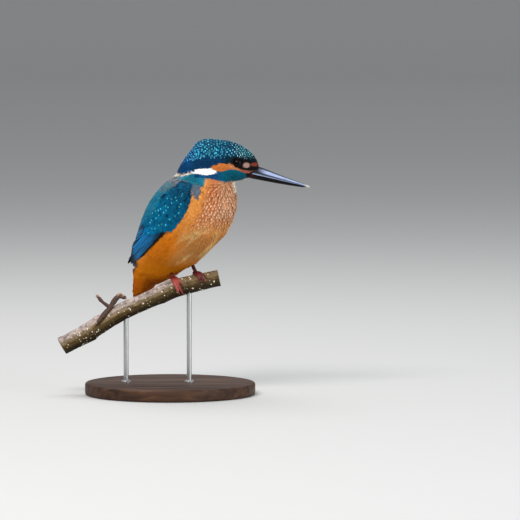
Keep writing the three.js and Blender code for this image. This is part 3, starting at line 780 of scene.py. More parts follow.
foot_finish = Finish("scaly foot skin", roughness=0.45, Specular_IOR_Level=0.35)
# these values carry the scute plates and also painted shade: the ramp's dark end darkens the shank, the toes'
# bases and the far foot
plates_and_shade = foot_finish.attribute("scute_and_shade")["Fac"]
mottle = foot_finish.noise(foot_finish.object_place, 900)
red = foot_finish.ramp(plates_and_shade, (0.0, srgb(42, 6, 7)), (0.4, srgb(98, 22, 20)), (0.9, srgb(172, 76, 64)))
foot_finish.colour(foot_finish.mix(foot_finish.between(mottle, 0.35, 0.75, 0, 0.5), red, srgb(84, 24, 24)))
foot_finish.bump(foot_finish.noise(foot_finish.object_place, 3200, 2.0), 0.00012, 0.5)

# %% [markdown]
# The feet are part of the same skin. Their toes bend round the branch, so a place on a toe is told by
# its angle round the branch, and the scutes, the horny plates on top of each toe, are steps in that
# angle. A finer remesh keeps the toes round.

# %% Feet
BRANCH = [(-73.5, 32.6, 6.0), (-64.6, 37.5, 6.1), (-53.2, 43.6, 6.6), (-47.6, 47.4, 6.1),
          (-34.0, 55.5, 6.0), (-20.4, 61.8, 5.7), (-6.8, 67.9, 6.0), (-1.4, 70.5, 6.6),
          (7.5, 73.2, 6.1), (20.4, 76.4, 5.8), (33.3, 79.3, 5.5)]
FOOT_NODES = ["foot_right", "foot_left", "leg_right", "leg_left"]
FOOT_VOXEL = 0.25
FOOT_SWELL = 0.3  # closes the slit between neighbouring toes
FOOT_SHRINK = 0.25  # brings the toes back to their thickness afterwards
TOE_REACH = 7.4  # how far the toes' backs are from the branch's centre line
TOE_SCUTE = 1.15
SHANK_SCUTE = 1.3
SCUTE_RISE = 0.06
branch_line = smooth_row(BRANCH, np.linspace(0, 1, 400))
branch_rise = np.gradient(branch_line[:, 1], branch_line[:, 0])


def branch_at(x):
    """Height and radius of the branch at x, in mm, and the angle of its slope."""
    height, radius, rise = (np.interp(x, branch_line[:, 0], values) for values in
                            (branch_line[:, 1], branch_line[:, 2], branch_rise))
    return height, radius, np.arctan(rise)


def about_branch(p):
    """Angle round the branch from its top, and distance from its centre line."""
    centre, _, slope = branch_at(p[:, 0])
    rise = (p[:, 2] - centre) * np.cos(slope)
    return np.arctan2(-p[:, 1], rise), np.hypot(p[:, 1], rise)


feet = fused(FOOT_NODES, FOOT_VOXEL, FOOT_SWELL, whole=True)
relax(feet, 5)
foot_points, foot_normals = points_of(feet)
turn, reach = about_branch(foot_points)
steps = turn * TOE_REACH / TOE_SCUTE
ring = np.abs((steps % 1) - 0.5) * 2
# painted shade: the far foot, which lies further along x, is darkened
far_foot_shade = 1 - 0.6 * ease(4.0, 12.0, foot_points[:, 0])
outer = ease(-0.2, 0.5, (foot_normals * np.stack(
    [np.zeros(len(turn)), -np.sin(turn), np.cos(turn)], -1)).sum(1))
shank = ease(8.6, 9.6, reach)
ring = np.where(shank > 0.5, np.abs(((foot_points[:, 2] / SHANK_SCUTE) % 1) - 0.5) * 2, ring)
plate = ease(0.0, 0.22, ring)
scute_height = (plate - 0.6) * SCUTE_RISE * np.maximum(outer, shank)
move_to(feet, foot_points + foot_normals * (scute_height - FOOT_SHRINK)[:, None])
# painted shade: the shank and the toes' bases on top of the branch are darker, and the toes' ends round the
# branch are lighter
lit_toe_ends = ease(0.1, 0.95, np.abs(turn)) * (1 - shank)
scute_and_shade_tone = (0.44 + 0.26 * plate * (0.45 + 0.55 * outer)) * (0.42 + 0.75 * lit_toe_ends) * far_foot_shade
scute_and_shade_tone = np.clip(scute_and_shade_tone, 0, 1)
print("foot vertices:", len(feet.verts))

# %% Join feet and body into the one skin
for face in feet.faces:
    face.material_index = 1
body_count = len(outline.verts)
feet_mesh = bpy.data.meshes.new("feet")
feet.to_mesh(feet_mesh)
feet.free()
outline.from_mesh(feet_mesh)
bpy.data.meshes.remove(feet_mesh)
skin = piece_from(outline, "skin", skin_finish, foot_finish, smooth_angle=180)
tone_of_skin = np.ones((len(skin.data.vertices), 4), np.float32)
tone_of_skin[:body_count, :3] = plumage(skin_points)
tone_of_skin[body_count:, :3] = srgb(150, 60, 50)
skin.data.color_attributes.new("tone", "FLOAT_COLOR", "POINT").data.foreach_set("color", tone_of_skin.ravel())
keep_values(skin, "scute_and_shade", np.concatenate([np.zeros(body_count), scute_and_shade_tone]))

# %% Unwrap the skin
bpy.context.view_layer.objects.active = skin
skin.select_set(True)
skin.data.uv_layers.new(name="OFBake")
bpy.ops.object.mode_set(mode="EDIT")
bpy.ops.mesh.select_all(action="SELECT")
bpy.ops.uv.smart_project(angle_limit=math.radians(66), island_margin=0.004)
bpy.ops.object.mode_set(mode="OBJECT")
skin.select_set(False)
loop_uv = np.empty(len(skin.data.loops) * 2, np.float32)
skin.data.uv_layers["OFBake"].uv.foreach_get("vector", loop_uv)
loop_vertex = np.empty(len(skin.data.loops), np.int32)
skin.data.loops.foreach_get("vertex_index", loop_vertex)
skin_uv = np.zeros((len(skin.data.vertices), 2))
skin_uv[loop_vertex] = loop_uv.reshape(-1, 2)
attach(skin, "root")
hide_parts(*FLESH, "foot_right", "foot_left", "leg_right", "leg_left")
print("skin faces:", len(skin.data.polygons))

# %% [markdown]
# ## Growing feathers
# A small feather is a shaft with barbs that part here and there. Here each one is a fan of thin,
# three-sided blades from one root, which follow the skin's curve in a few steps and rise through the
# coat, so that the tip of one lies over the next. All the feathers of a tract become one mesh. Their
# own "vane" map says how far across and along a feather a place is, and drives barbs and shafts.

# %% Paths over the skin
OFBAKE_PATCH = 0.003
STEPS = np.array((0.0, 0.3, 0.6, 0.85, 1.0))
FEW_STEPS = np.array((0.0, 0.45, 0.8, 1.0))


def way_over(p, normal):
    """Unit directions of the lie along the skin; near an eye they part and pass round it."""
    way = lie_at(p)[0]
    for centre in EYE_AT.values():
        out = p - centre
        far = np.linalg.norm(out, axis=1, keepdims=True)
        out = out / far
        inward = np.minimum((way * out).sum(1, keepdims=True), 0)
        way = way - out * inward * (1 - ease(4.2, 6.8, far))
    way = way - normal * (way * normal).sum(1, keepdims=True)
    return way / (np.linalg.norm(way, axis=1, keepdims=True) + 1e-9)


def lay_down(roots, rng, steps=STEPS, length=1.0, width=1.0, rise=1.0, stray=0.08, long_=None, half=None):
    """Where each feather of a tract runs: its centre line, its up and forward directions, its size."""
    n = len(roots)
    _, deep, own_long, own_half = lie_at(roots)
    long_ = (own_long * length if long_ is None else long_) * rng.uniform(0.9, 1.1, n)
    half = (own_half * width if half is None else half) * rng.uniform(0.93, 1.07, n)
    deep = deep * rise * rng.uniform(0.9, 1.12, n)
    turn = rng.normal(0, stray, n)
    spots, ups, ways = [], [], []
    p, up, index = on_skin(roots)
    for k, v in enumerate(steps):
        if k:
            p, up, _ = on_skin(p + way * ((v - steps[k - 1]) * long_)[:, None])
        way = way_over(p, up)
        way = way * np.cos(turn)[:, None] + np.cross(up, way) * np.sin(turn)[:, None]
        spots.append(p)
        ups.append(up)
        ways.append(way)
    spots, ups, ways = (np.stack(rows, 1) for rows in (spots, ups, ways))
    lift = deep[:, None] * (0.08 + 0.92 * steps[None] ** 0.8)
    return {"skin": spots, "centre": spots + ups * lift[..., None], "up": ups, "way": ways,
            "steps": steps, "long": long_, "half": half, "index": index}


def picked(lay, which):
    """Some of the feathers that were laid down."""
    return {key: value if key == "steps" else value[which] for key, value in lay.items()}


def on_tips(lay, start, end, half, above=0.13):
    """Small marks that lie on top of feathers, between two places along them."""
    steps = FEW_STEPS
    at = start + (end - start) * steps
    i = np.clip(np.searchsorted(lay["steps"], at, side="right") - 1, 0, len(lay["steps"]) - 2)
    f = ((at - lay["steps"][i]) / (lay["steps"][i + 1] - lay["steps"][i]))[None, :, None]
    made = {key: lay[key][:, i] * (1 - f) + lay[key][:, i + 1] * f
            for key in ("skin", "centre", "up", "way")}
    made["centre"] = made["centre"] + made["up"] * above
    made.update(steps=steps, long=lay["long"] * (end - start), half=lay["half"] * half,
                index=on_skin(made["skin"][:, 0])[2])
    return made


# %% Blades into meshes
def mesh_of(name, points_, quads, caps, vane, bake, tones, finish, sharp=60):
    """One mesh from arrays: quads and end faces over shared points, with its maps and colours."""
    mesh = bpy.data.meshes.new(name)
    mesh.vertices.add(len(points_))
    mesh.vertices.foreach_set("co", (points_ * MM).astype(np.float32).ravel())
    corners = np.concatenate([quads.ravel(), caps.ravel()]).astype(np.int32)
    starts = np.concatenate([
        np.arange(len(quads)) * 4, len(quads) * 4 + np.arange(len(caps)) * caps.shape[1]
    ]).astype(np.int32)
    mesh.loops.add(len(corners))
    mesh.loops.foreach_set("vertex_index", corners)
    mesh.polygons.add(len(starts))
    mesh.polygons.foreach_set("loop_start", starts)
    mesh.update(calc_edges=True)
    for map_name, values in (("vane", vane), ("OFBake", bake)):
        layer = mesh.uv_layers.new(name=map_name)
        layer.uv.foreach_set("vector", values[corners].astype(np.float32).ravel())
    rgba = np.concatenate([tones, np.ones((len(tones), 1))], 1).astype(np.float32)
    mesh.color_attributes.new("tone", "FLOAT_COLOR", "POINT").data.foreach_set("color", rgba.ravel())
    mesh.materials.append(finish.material)
    mesh.shade_smooth()
    mesh.set_sharp_from_angle(angle=math.radians(sharp))
    piece = bpy.data.objects.new(name, mesh)
    scene.collection.objects.link(piece)
    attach(piece, "root")
    print(f"{name}: {len(points_)} vertices, {len(quads) * 2 + len(caps) * (caps.shape[1] - 2)} triangles")
    return piece


# how wide a blade is, and how far the fan has opened, at each of STEPS
BLADE = (0.55, 0.9, 1.0, 0.72, 0.1)
SPREAD = (0.12, 0.6, 0.92, 1.0, 0.98)
MARK_BLADE = (0.5, 0.95, 1.0, 0.85, 0.5)
MARK_SPREAD = (0.7, 0.95, 1.0, 0.95, 0.85)
ACROSS_BLADE = np.array((-1.0, 1.0, 0.0))
OVER_BLADE = np.array((0.0, 0.0, 1.0))
BLADE_RISE = 0.12


def unbroken(lay):
    """Which feathers run on evenly over the skin; the others would jump across a fold in it."""
    gaps = np.linalg.norm(np.diff(lay["skin"], axis=1), axis=-1)
    meant = np.diff(lay["steps"])[None] * lay["long"][:, None]
    turns = (lay["up"][:, 1:] * lay["up"][:, :-1]).sum(-1)
    return ((gaps < 1.7 * meant + 0.1) & (gaps > 0.3 * meant) & (turns > 0.35)).all(1)


def spread_out(values, *axes):
    """Puts an array on the axes feather, blade, step, corner."""
    shape = [1, 1, 1, 1]
    for axis, size in zip(axes, values.shape):
        shape[axis] = size
    return values.reshape(shape)


def grow(name, finish, lay, rng, barbs=5, ragged=0.1, tones=0.08, colours=None, mark=False, full=1.3):
    """A tract of small feathers, each a fan of blades from its root; a mark is a blunt patch."""
    even = unbroken(lay)
    lay = picked(lay, even)
    colours = None if colours is None else colours[even]
    steps = lay["steps"]
    n, k = len(lay["long"]), len(steps)
    print(f"{name}: {np.sum(~even)} feathers left out at folds")
    blade = np.interp(steps, STEPS, MARK_BLADE if mark else BLADE)
    spread = np.interp(steps, STEPS, MARK_SPREAD if mark else SPREAD)
    across = np.cross(lay["up"], lay["way"])
    fan = np.linspace(-1, 1, barbs) if barbs > 1 else np.zeros(1)
    cut = 1 - 0.13 * fan**2 - np.abs(rng.normal(0, ragged, (n, barbs)))
    splay = fan[None] + rng.normal(0, 0.12, (n, barbs)) * (barbs > 1)
    half = lay["half"]
    blade_half = half / barbs * (full if barbs > 1 else 1.0)
    reach = half * (0.72 if barbs > 1 else 0.0)
    v = spread_out(steps, 2)
    side = (spread_out(splay, 0, 1) * spread_out(reach, 0) * spread_out(spread, 2)
            + spread_out(ACROSS_BLADE, 3) * spread_out(blade_half, 0) * spread_out(blade, 2))
    crown_ = (spread_out(OVER_BLADE, 3) * spread_out(np.minimum(BLADE_RISE, blade_half * 0.5), 0)
              * spread_out(blade, 2)
              + spread_out(rng.uniform(0, 0.12, (n, barbs)), 0, 1) * v
              - 0.13 * spread_out(splay**2, 0, 1) * spread_out(half, 0) * v**2)
    back_ = -spread_out(1 - cut, 0, 1) * spread_out(lay["long"], 0) * v

    def along(key):
        return lay[key][:, None, :, None]

    verts = (along("centre") + across[:, None, :, None] * side[..., None]
             + along("up") * crown_[..., None] + along("way") * back_[..., None])
    vane = np.stack([
        np.clip(0.5 + 0.5 * side / spread_out(reach + blade_half, 0), 0, 1), np.broadcast_to(v, side.shape)
    ], -1)
    bake = skin_uv[lay["index"]][:, None, None, None] + (vane - 0.5) * OFBAKE_PATCH
    if colours is None:
        colours = plumage(lay["skin"].reshape(-1, 3)).reshape(n, k, 3)
        colours[:, 0] = colours[:, 1]
    elif colours.ndim == 2:
        colours = np.repeat(colours[:, None], k, 1)
    shade = 1 + rng.normal(0, tones, (n, 1, 1, 1)) + rng.normal(0, tones * 0.6, (n, barbs, 1, 1))
    colour = np.clip(colours[:, None] * shade, 0, 1)
    tones_ = np.broadcast_to(colour[:, :, :, None], (*side.shape, 3)).reshape(-1, 3)
    base = (np.arange(n * barbs) * k * 3)[:, None, None, None]
    ring_, corner = np.meshgrid(np.arange(k - 1), np.arange(3), indexing="ij")
    a = ring_ * 3 + corner
    b = ring_ * 3 + (corner + 1) % 3
    quads = base + np.stack([a, b, b + 3, a + 3], -1)[None]
    caps = base[:, :, 0, :] + np.array([[0, 2, 1], [3 * k - 3, 3 * k - 2, 3 * k - 1]])[None]
    return mesh_of(name, verts.reshape(-1, 3), quads.reshape(-1, 4), caps.reshape(-1, 3),
                   vane.reshape(-1, 2), bake.reshape(-1, 2), tones_, finish)


# %% [markdown]
# Roots come in two ways. Most of the coat gets roots scattered at an even distance. Where the feathers
# stand in neat staggered rows, as on crown and breast, the rows are measured out over the skin with rays
# from a line inside the body.

# %% Scattered roots
TRIES = 7  # candidates for each root that fits
PACKING = 0.64  # roots for each square of their spacing, when no more fit
SCATTER_BY = 0.45


def scatter(spacing, rng, keep):
    """Roots spread over the skin, no two closer than the spacing there, where keep says so."""
    allowed = np.flatnonzero(keep(skin_points) > 0.5)
    density = PACKING / np.mean(spacing(skin_points[allowed])) ** 2
    count = int(len(allowed) * max(1.0, density) * TRIES)
    pick = allowed[rng.integers(0, len(allowed), count)]
    p = skin_points[pick] + rng.uniform(-SCATTER_BY, SCATTER_BY, (count, 3))
    p = on_skin(p)[0]
    p = p[keep(p) > 0.5]
    gap = spacing(p)
    cell = float(gap.max())
    near = list(product((-1, 0, 1), repeat=3))
    grid, chosen = {}, []
    keys = np.floor(p / cell).astype(int).tolist()
    for i, (q, s, key) in enumerate(zip(p.tolist(), (gap**2).tolist(), keys)):
        x, y, z = q
        if not any(
            (x - r[0]) ** 2 + (y - r[1]) ** 2 + (z - r[2]) ** 2 < s
            for d in near
            for r in grid.get((key[0] + d[0], key[1] + d[1], key[2] + d[2]), ())
        ):
            grid.setdefault(tuple(key), []).append(q)
            chosen.append(i)
    return p[chosen]


def by_width(factor):
    """A spacing that follows the feathers' own half-width."""
    return lambda p: lie_at(p)[3] * factor


# %% Roots in rows
FAN = np.radians(np.linspace(0, 115, 90))


def meet_skin(origin, way):
    """Where a ray meets the skin, in mm, with the skin's normal there; None if it misses."""
    place, normal, _, _ = skin_bvh.ray_cast(Vector(origin) * MM, Vector(way))
    return None if place is None else (np.array(place) / MM, np.array(normal))


def rows_of(origins, first, sideways, pitches, keep, bold, rng):
    """Staggered rows: from each origin a fan of rays turns from first to sideways over the skin, and
    roots are set out along it at that row's pitch, from where keep first allows them."""
    made = []
    for i, (origin, start, pitch) in enumerate(zip(origins, first, pitches)):
        for side in (-1, 1):
            spots = []
            for angle in FAN:
                met = meet_skin(origin, math.cos(angle) * start + math.sin(angle) * side * sideways)
                if met:
                    spots.append(met[0])
            spots = np.array(spots)
            allowed = keep(spots) > 0.5
            if not allowed.any():
                continue
            spots = spots[np.argmax(allowed):]
            arc = arc_of(spots)
            at = np.arange(0.5 * (i % 2), arc[-1] / pitch, 1.0) * pitch
            if side == 1 and i % 2 == 0:
                at = at[1:]
            made.append(np.stack([np.interp(at, arc, spots[:, axis]) for axis in range(3)], 1))
    made = np.concatenate(made)
    made = on_skin(made + rng.normal(0, bold, made.shape))[0]
    return made[keep(made) > 0.5]


# %% [markdown]
# ## Feather finishes
# Barbs run out slantwise from the shaft and catch the light as fine lines, and the colour is deepest in
# the shade at a feather's root. One node group makes both for every tract.

# %% The barb group
group = bpy.data.node_groups.new("barbs", "ShaderNodeTree")
for way, socket, kind in (
    ("INPUT", "Across", "Float"), ("INPUT", "Along", "Float"), ("INPUT", "Barbs", "Float"),
    ("INPUT", "Colour", "Color"), ("INPUT", "Root shade", "Float"),
    ("OUTPUT", "Colour", "Color"), ("OUTPUT", "Height", "Float"),
):
    group.interface.new_socket(socket, in_out=way, socket_type="NodeSocket" + kind)


class GroupTree(Finish):
    """The same node helpers, at work inside a group."""

    def __init__(self, tree):
        self.tree = tree


barb_tree = GroupTree(group)
entry = barb_tree.node("NodeGroupInput").outputs
leave = barb_tree.node("NodeGroupOutput").inputs
from_shaft = barb_tree.math("ABSOLUTE", barb_tree.math("SUBTRACT", entry["Across"], 0.5))
slant = barb_tree.math("SUBTRACT", entry["Along"], barb_tree.math("MULTIPLY", from_shaft, 0.7))
wave = barb_tree.math("SINE", barb_tree.math("MULTIPLY", slant, entry["Barbs"]))
shaft = barb_tree.between(from_shaft, 0.0, 0.05, 1.0, 0.0)
shade = barb_tree.between(entry["Along"], 0.05, 0.62, entry["Root shade"], 1.0)
fine = barb_tree.math("MULTIPLY_ADD", wave, 0.07, 0.97)
dark = barb_tree.math("MULTIPLY", shade, fine)
scaled = barb_tree.node("ShaderNodeVectorMath", {0: entry["Colour"], "Scale": dark}, operation="SCALE")
barb_tree.put(scaled.outputs[0], leave["Colour"])
barb_tree.put(barb_tree.math("ADD", wave, barb_tree.math("MULTIPLY", shaft, 2.0)), leave["Height"])


def feather_finish(name, barbs=60.0, root_shade=0.35, roughness=0.55, webs=None, **constants):
    made = Finish(name, roughness=roughness, **constants)
    u, v = made.uv("vane")
    colour = made.attribute("tone")["Color"]
    if webs:
        colour = webs(made, u, colour)
    barb = made.node("ShaderNodeGroup", node_tree=group)
    for key, value in {"Across": u, "Along": v, "Barbs": barbs, "Colour": colour,
                       "Root shade": root_shade}.items():
        made.put(value, barb.inputs[key])
    made.colour(barb.outputs["Colour"])
    made.bump(barb.outputs["Height"], 0.00004, 0.5)
    return made


def two_webs(made, u, colour):
    """A flight feather's narrow outer web is bright, with a dark rim; its broad inner web is dusky."""
    inner = made.between(u, 0.60, 0.72, 1.0, 0.0)
    rim = made.between(u, 0.93, 0.985)
    dusky = made.mix(0.86, colour, (0.004, 0.006, 0.012))
    return made.mix(made.math("MAXIMUM", inner, made.math("MULTIPLY", rim, 0.8)), colour, dusky)


crown_finish = feather_finish("crown feather", roughness=0.5, root_shade=0.35, Specular_IOR_Level=0.06)
mark_finish = feather_finish("brilliant mark", roughness=0.42, root_shade=0.8, Specular_IOR_Level=0.3)
cheek_finish = feather_finish("cheek feather", root_shade=0.7, Specular_IOR_Level=0.08)
body_finish = feather_finish("body feather", root_shade=0.8, roughness=0.75, Specular_IOR_Level=0.06)
covert_finish = feather_finish("wing covert", roughness=0.48, root_shade=0.35, Specular_IOR_Level=0.06)
back_finish = feather_finish("back feather", roughness=0.42, root_shade=0.4, Specular_IOR_Level=0.2)
flight_finish = feather_finish("flight feather", barbs=260.0, roughness=0.45, root_shade=0.6,
                               webs=two_webs, Specular_IOR_Level=0.15)


# %% Where feathers can root
BILL_AXIS = [(21.8, -6.3, 4.9), (27.2, -7.6, 4.5), (34.0, -9.6, 3.9)]


def clear_of_face(p):
    """Keeps roots off the eyes, the bill and the corner of the mouth."""
    h = p - HEAD_AT
    good = 1.0 - within(GAPE, h)
    for centre in EYE_AT.values():
        out = p - centre
        good *= np.hypot(out[:, 0], out[:, 2]) > np.where(np.abs(out[:, 1]) < 7, EYE_OPEN + 0.25, 0)
    axis = np.array(BILL_AXIS)
    mid = np.interp(h[:, 0], axis[:, 0], axis[:, 1])
    radius = np.interp(h[:, 0], axis[:, 0], axis[:, 2], left=0)
    good *= np.hypot(h[:, 1], h[:, 2] - mid) > radius + 0.1
    return good


TRACTS = ["crown", "cheek", "neck", "breast", "belly", "flank", "vent", "undertail", "back", "coverts",
          "scapulars", "flights", "tail"]


def tract(p):
    """The tract that each point belongs to, as its number in TRACTS."""
    t = in_trunk(p)
    h = p - HEAD_AT
    part, along, above = on_wing(t)
    wing = part > 0.85
    below_crown = sum(inside(shape, h[:, 0], h[:, 2], 0.2) for shape in (EAR, WHITE, CREAM, LORES))
    crown = within(CROWN, h) & (below_crown < 0.5)
    face = (h[:, 2] > -13.2) & (h[:, 0] > -12) & ~crown & (p[:, 2] > 144)
    collar = within(CREAM, h) | within(WHITE, h)
    round_ = round_trunk(t)
    side, z = np.abs(t[:, 1]), t[:, 2]
    bare = read_off(BARE_BACK, z) + 1.6
    neck = (p[:, 2] > 139.5) & (h[:, 0] < -8)
    back = ((side < bare) & (round_ > 110) & (z > 79)) | ((z > 139) & (round_ > 98))
    scapular = above > read_off(SCAPULAR_FROM, along)
    scapular |= (side < 10.8) & (t[:, 0] < -20) & (z > 91) & (along < 71)
    beside = (side < np.interp(z, (84, 90, 106), (7.5, 11.8, 12.4))) & (t[:, 0] < -20)
    beside &= (z > 86) & (z < 106) & (along < 64)
    flights = along > read_off(COVERTS_TO, above) - 6
    result = np.where(z > 64, TRACTS.index("flank"), TRACTS.index("tail"))
    for name, where in (
        ("breast", (round_ < 47) & (z > 115)), ("belly", (round_ < 50) & (z <= 115)),
        ("vent", z < 90), ("undertail", (z < 84.5) & (z > 66)), ("neck", neck), ("back", back),
        ("tail", (t[:, 0] < -36.4) & (z < 80.5) & (side < 6)), ("flights", wing & flights),
        ("coverts", wing & ~flights), ("scapulars", wing & scapular), ("back", wing & beside),
        ("cheek", face | collar), ("crown", crown & (h[:, 2] > -6.2)),
    ):
        result[where] = TRACTS.index(name)
    return result


def in_tract(name, side=0):
    def keep(p):
        good = (tract(p) == TRACTS.index(name)) * clear_of_face(p)
        return good * (side * in_trunk(p)[:, 1] > 0) if side else good

    return keep


# %% [markdown]
# ## Head
# The smallest feathers are on the face: fine single blades, so that the edges between orange, white,
# black and teal are crisp. The crown has broad dark feathers in staggered rows, and those on its upper
# part each carry a bright cross-bar as a small tuft of its own that lies on the tip.

# %% Face and cheeks
rng = np.random.default_rng(11)
roots = scatter(by_width(0.84), rng, in_tract("cheek"))
lay = lay_down(roots, rng, FEW_STEPS, length=1.15, width=0.78, rise=0.6, stray=0.1)
grow("coat_cheeks", cheek_finish, lay, rng, barbs=1, tones=0.1)

# %% Crown rows
CROWN_AXIS = HEAD_AT + (1.0, 0, -13.0)
CROWN_GAP = 0.95, 0.85  # between rows, in mm, and what is added to it behind the forehead
CROWN_PITCH = 1.45, 1.0  # the same for feathers within a row


def upright(angle):
    return np.array((math.cos(angle), 0, math.sin(angle)))


angles = np.radians(np.linspace(16, 176, 400))
arc = arc_of(np.array([meet_skin(CROWN_AXIS, upright(a))[0] for a in angles]))
row_at, s = [], 0.0
while s < arc[-1]:
    row_at.append(s)
    s += CROWN_GAP[0] + CROWN_GAP[1] * float(ease(6, 32, s))
firsts = [upright(a) for a in np.interp(row_at, arc, angles)]
pitches = [CROWN_PITCH[0] + CROWN_PITCH[1] * float(ease(6, 30, s)) for s in row_at]
roots = rows_of([CROWN_AXIS] * len(firsts), firsts, np.array((0, 1.0, 0)), pitches, in_tract("crown"),
                bold=0.12, rng=rng)
h = roots - HEAD_AT
back_share = ease(18, -12, h[:, 0])
deep_in = inside(CROWN, h[:, 0], h[:, 2], 6.0)
short = 0.5 + 0.5 * ease(0.5, 0.95, deep_in)
fore = ease(10, 24, h[:, 0])
lay = lay_down(roots, rng, long_=(3.6 - 1.2 * fore + 2.2 * back_share) * short,
               half=1.05 - 0.25 * fore + 0.45 * back_share, stray=0.07)
near_edge = ease(0.98, 0.85, deep_in)[:, None, None] * np.array((0, 0, 1.4))
hues = plumage((lay["skin"] + near_edge).reshape(-1, 3)).reshape(lay["skin"].shape)
grow("coat_crown", crown_finish, lay, rng, barbs=5, ragged=0.05, tones=0.12, colours=hues)

# %% Crown bars
h = lay["skin"][:, 3] - HEAD_AT
teal, silver, azure = dye(48, 170, 196), dye(176, 210, 208), dye(44, 150, 214)
ink = teal + (silver - teal) * ease(2, 16, h[:, :1])
ink = ink + (azure - ink) * ease(-10, -22, h[:, :1])
barred = h[:, 2] + 0.35 * np.maximum(0, -12 - h[:, 0]) > 3.6 - 0.08 * np.maximum(0, h[:, 0] - 8)
lively = rng.uniform(0.5, 1.1, (len(ink), 1)) + 0.25 * ease(4, 14, h[:, :1])
ink = ink * lively * (0.5 + 0.5 * ease(1.5, 7, h[:, 2:3] + 0.4 * np.maximum(0, -12 - h[:, :1])))
bars = picked(on_tips(lay, 0.7, 0.93, 0.55), barred)
bars["half"] = bars["half"] * rng.uniform(0.75, 1.25, len(bars["half"]))
grow("coat_crown_bars", mark_finish, bars, rng, barbs=4, ragged=0.2, tones=0.3,
     colours=ink[barred], mark=True, full=1.1)

# %% Neck
roots = scatter(by_width(0.75), rng, in_tract("neck"))
grow("coat_neck", cheek_finish, lay_down(roots, rng, stray=0.12, width=0.65), rng,
     barbs=5, ragged=0.14)

# %% [markdown]
# ## Breast, belly and flanks
# Breast feathers are short and rounded, each with a pale centre, which gives the scaled look. Lower down
# the barbs are loose and the feathers long, so that they run together like brushed hair.

# %% Breast rows
BREAST_GAP = 1.95
BREAST_PITCH = 2.25
heights = np.arange(150.0, 112.0, -BREAST_GAP)
origins = [trunk_spot(np.interp(z, (112, 150), (8, 15)), 0, z) for z in heights]
ahead, leftwards = trunk_way(1.0, 0, 0), trunk_way(0, 1.0, 0)
roots = rows_of(origins, [ahead] * len(heights), leftwards, [BREAST_PITCH] * len(heights),
                in_tract("breast"), bold=0.22, rng=rng)
lay = lay_down(roots, rng, length=1.05, width=1.1, stray=0.1, rise=0.8)
grow("coat_breast", body_finish, lay, rng, barbs=7, ragged=0.08, tones=0.09)
pale = plumage(lay["skin"][:, 3])
tips = in_trunk(lay["skin"][:, 3])
fade = 0.25 + 0.75 * ease(48, 38, round_trunk(tips)) * ease(112, 122, tips[:, 2])
pale = pale + (dye(252, 208, 172) - pale) * rng.uniform(0.3, 0.7, (len(pale), 1)) * fade[:, None]
grow("coat_breast_centres", body_finish, on_tips(lay, 0.62, 0.96, 0.36), rng, barbs=3,
     ragged=0.2, tones=0.08, colours=pale, mark=True)

# %% Belly, flanks and vent
roots = scatter(by_width(0.74), rng, in_tract("belly"))
lay = lay_down(roots, rng, stray=0.12, length=0.9, width=0.74)
grow("coat_belly", body_finish, lay, rng, barbs=7, ragged=0.11, tones=0.05, full=1.5)
for name, side in (("coat_flank_right", -1), ("coat_flank_left", 1)):
    roots = scatter(by_width(0.7), rng, in_tract("flank", side))
    _, along, above = on_wing(in_trunk(roots))
    flat = 0.35 + 0.65 * ease(0.5, 6.0, read_off(WING_LOW, along) - above)
    lay = lay_down(roots, rng, stray=0.09, length=0.9, width=0.7, rise=flat)
    grow(name, body_finish, lay, rng, barbs=7, ragged=0.1, tones=0.05, full=1.5)
roots = scatter(by_width(0.74), rng, in_tract("vent"))
flat = 0.4 + 0.6 * ease(-38, -30, in_trunk(roots)[:, 0])
lay = lay_down(roots, rng, stray=0.1, width=0.74, length=0.85, rise=flat)
grow("coat_vent", body_finish, lay, rng, barbs=7, ragged=0.13, tones=0.05, full=1.5)
roots = scatter(by_width(0.75), rng, in_tract("undertail"))
short = 0.25 + 0.55 * ease(62, 72, roots[:, 2])
lay = lay_down(roots, rng, stray=0.03, rise=0.5, length=short, width=0.85)
rust = plumage(roots + trunk_way(3.0, 0, 0))
grow("coat_undertail", body_finish, lay, rng, barbs=5, ragged=0.08, tones=0.05,
     colours=rust, full=1.6)

# %% Back
roots = scatter(by_width(1.25), rng, in_tract("back"))
lay = lay_down(roots, rng)
grow("coat_back", back_finish, lay, rng, barbs=5, ragged=0.06)
tips = lay["skin"][:, 3, 2]
lower = (tips < 138) & (tips > 85) & (np.abs(in_trunk(roots)[:, 1]) < 5.6)
bars = picked(on_tips(lay, 0.6, 0.95, 0.8), lower)
grow("coat_back_gloss", mark_finish, bars, rng, barbs=4, ragged=0.1, tones=0.12,
     colours=np.tile(srgb(70, 200, 244), (int(lower.sum()), 1)))

# %% [markdown]
# ## Wings
# A folded wing shows, from front to back, small scattered coverts, some of them with a bright spot on
# the tip so that the spots form rows, then the flight feathers, which lie like a half-closed fan with
# only their outer webs in sight. The scapulars of the shoulder hang over its upper edge.

# %% Coverts with their spots
SPOTS_APART = 3.7


def wing_colours(lay):
    """Colours along each wing feather, looked up a little inside the wing's lower edge."""
    spots = lay["skin"].reshape(-1, 3)
    _, along, above = on_wing(in_trunk(spots))
    short = np.clip(read_off(WING_LOW, along) + 1.8 - above, 0, 5)
    up = trunk_way(WING_UP[0], 0, WING_UP[1])
    return plumage(spots + up * short[:, None]).reshape(lay["skin"].shape)


def chosen_tips(lay, rows, apart, rng):
    """The feathers whose tips lie nearest to even, slightly wandering places along rows on the wing."""
    _, along, above = on_wing(in_trunk(lay["skin"][:, 3]))
    taken = []
    for row in rows:
        row = np.array(row, float)
        arc = arc_of(row)
        for at in np.arange(0, arc[-1] + 0.1, apart):
            at = at + rng.uniform(-0.7, 0.7)
            place = [np.interp(at, arc, row[:, 0]), np.interp(at, arc, row[:, 1]) + rng.normal(0, 0.5)]
            taken.append(int(np.argmin(np.hypot(along - place[0], above - place[1]))))
    return np.unique(taken)


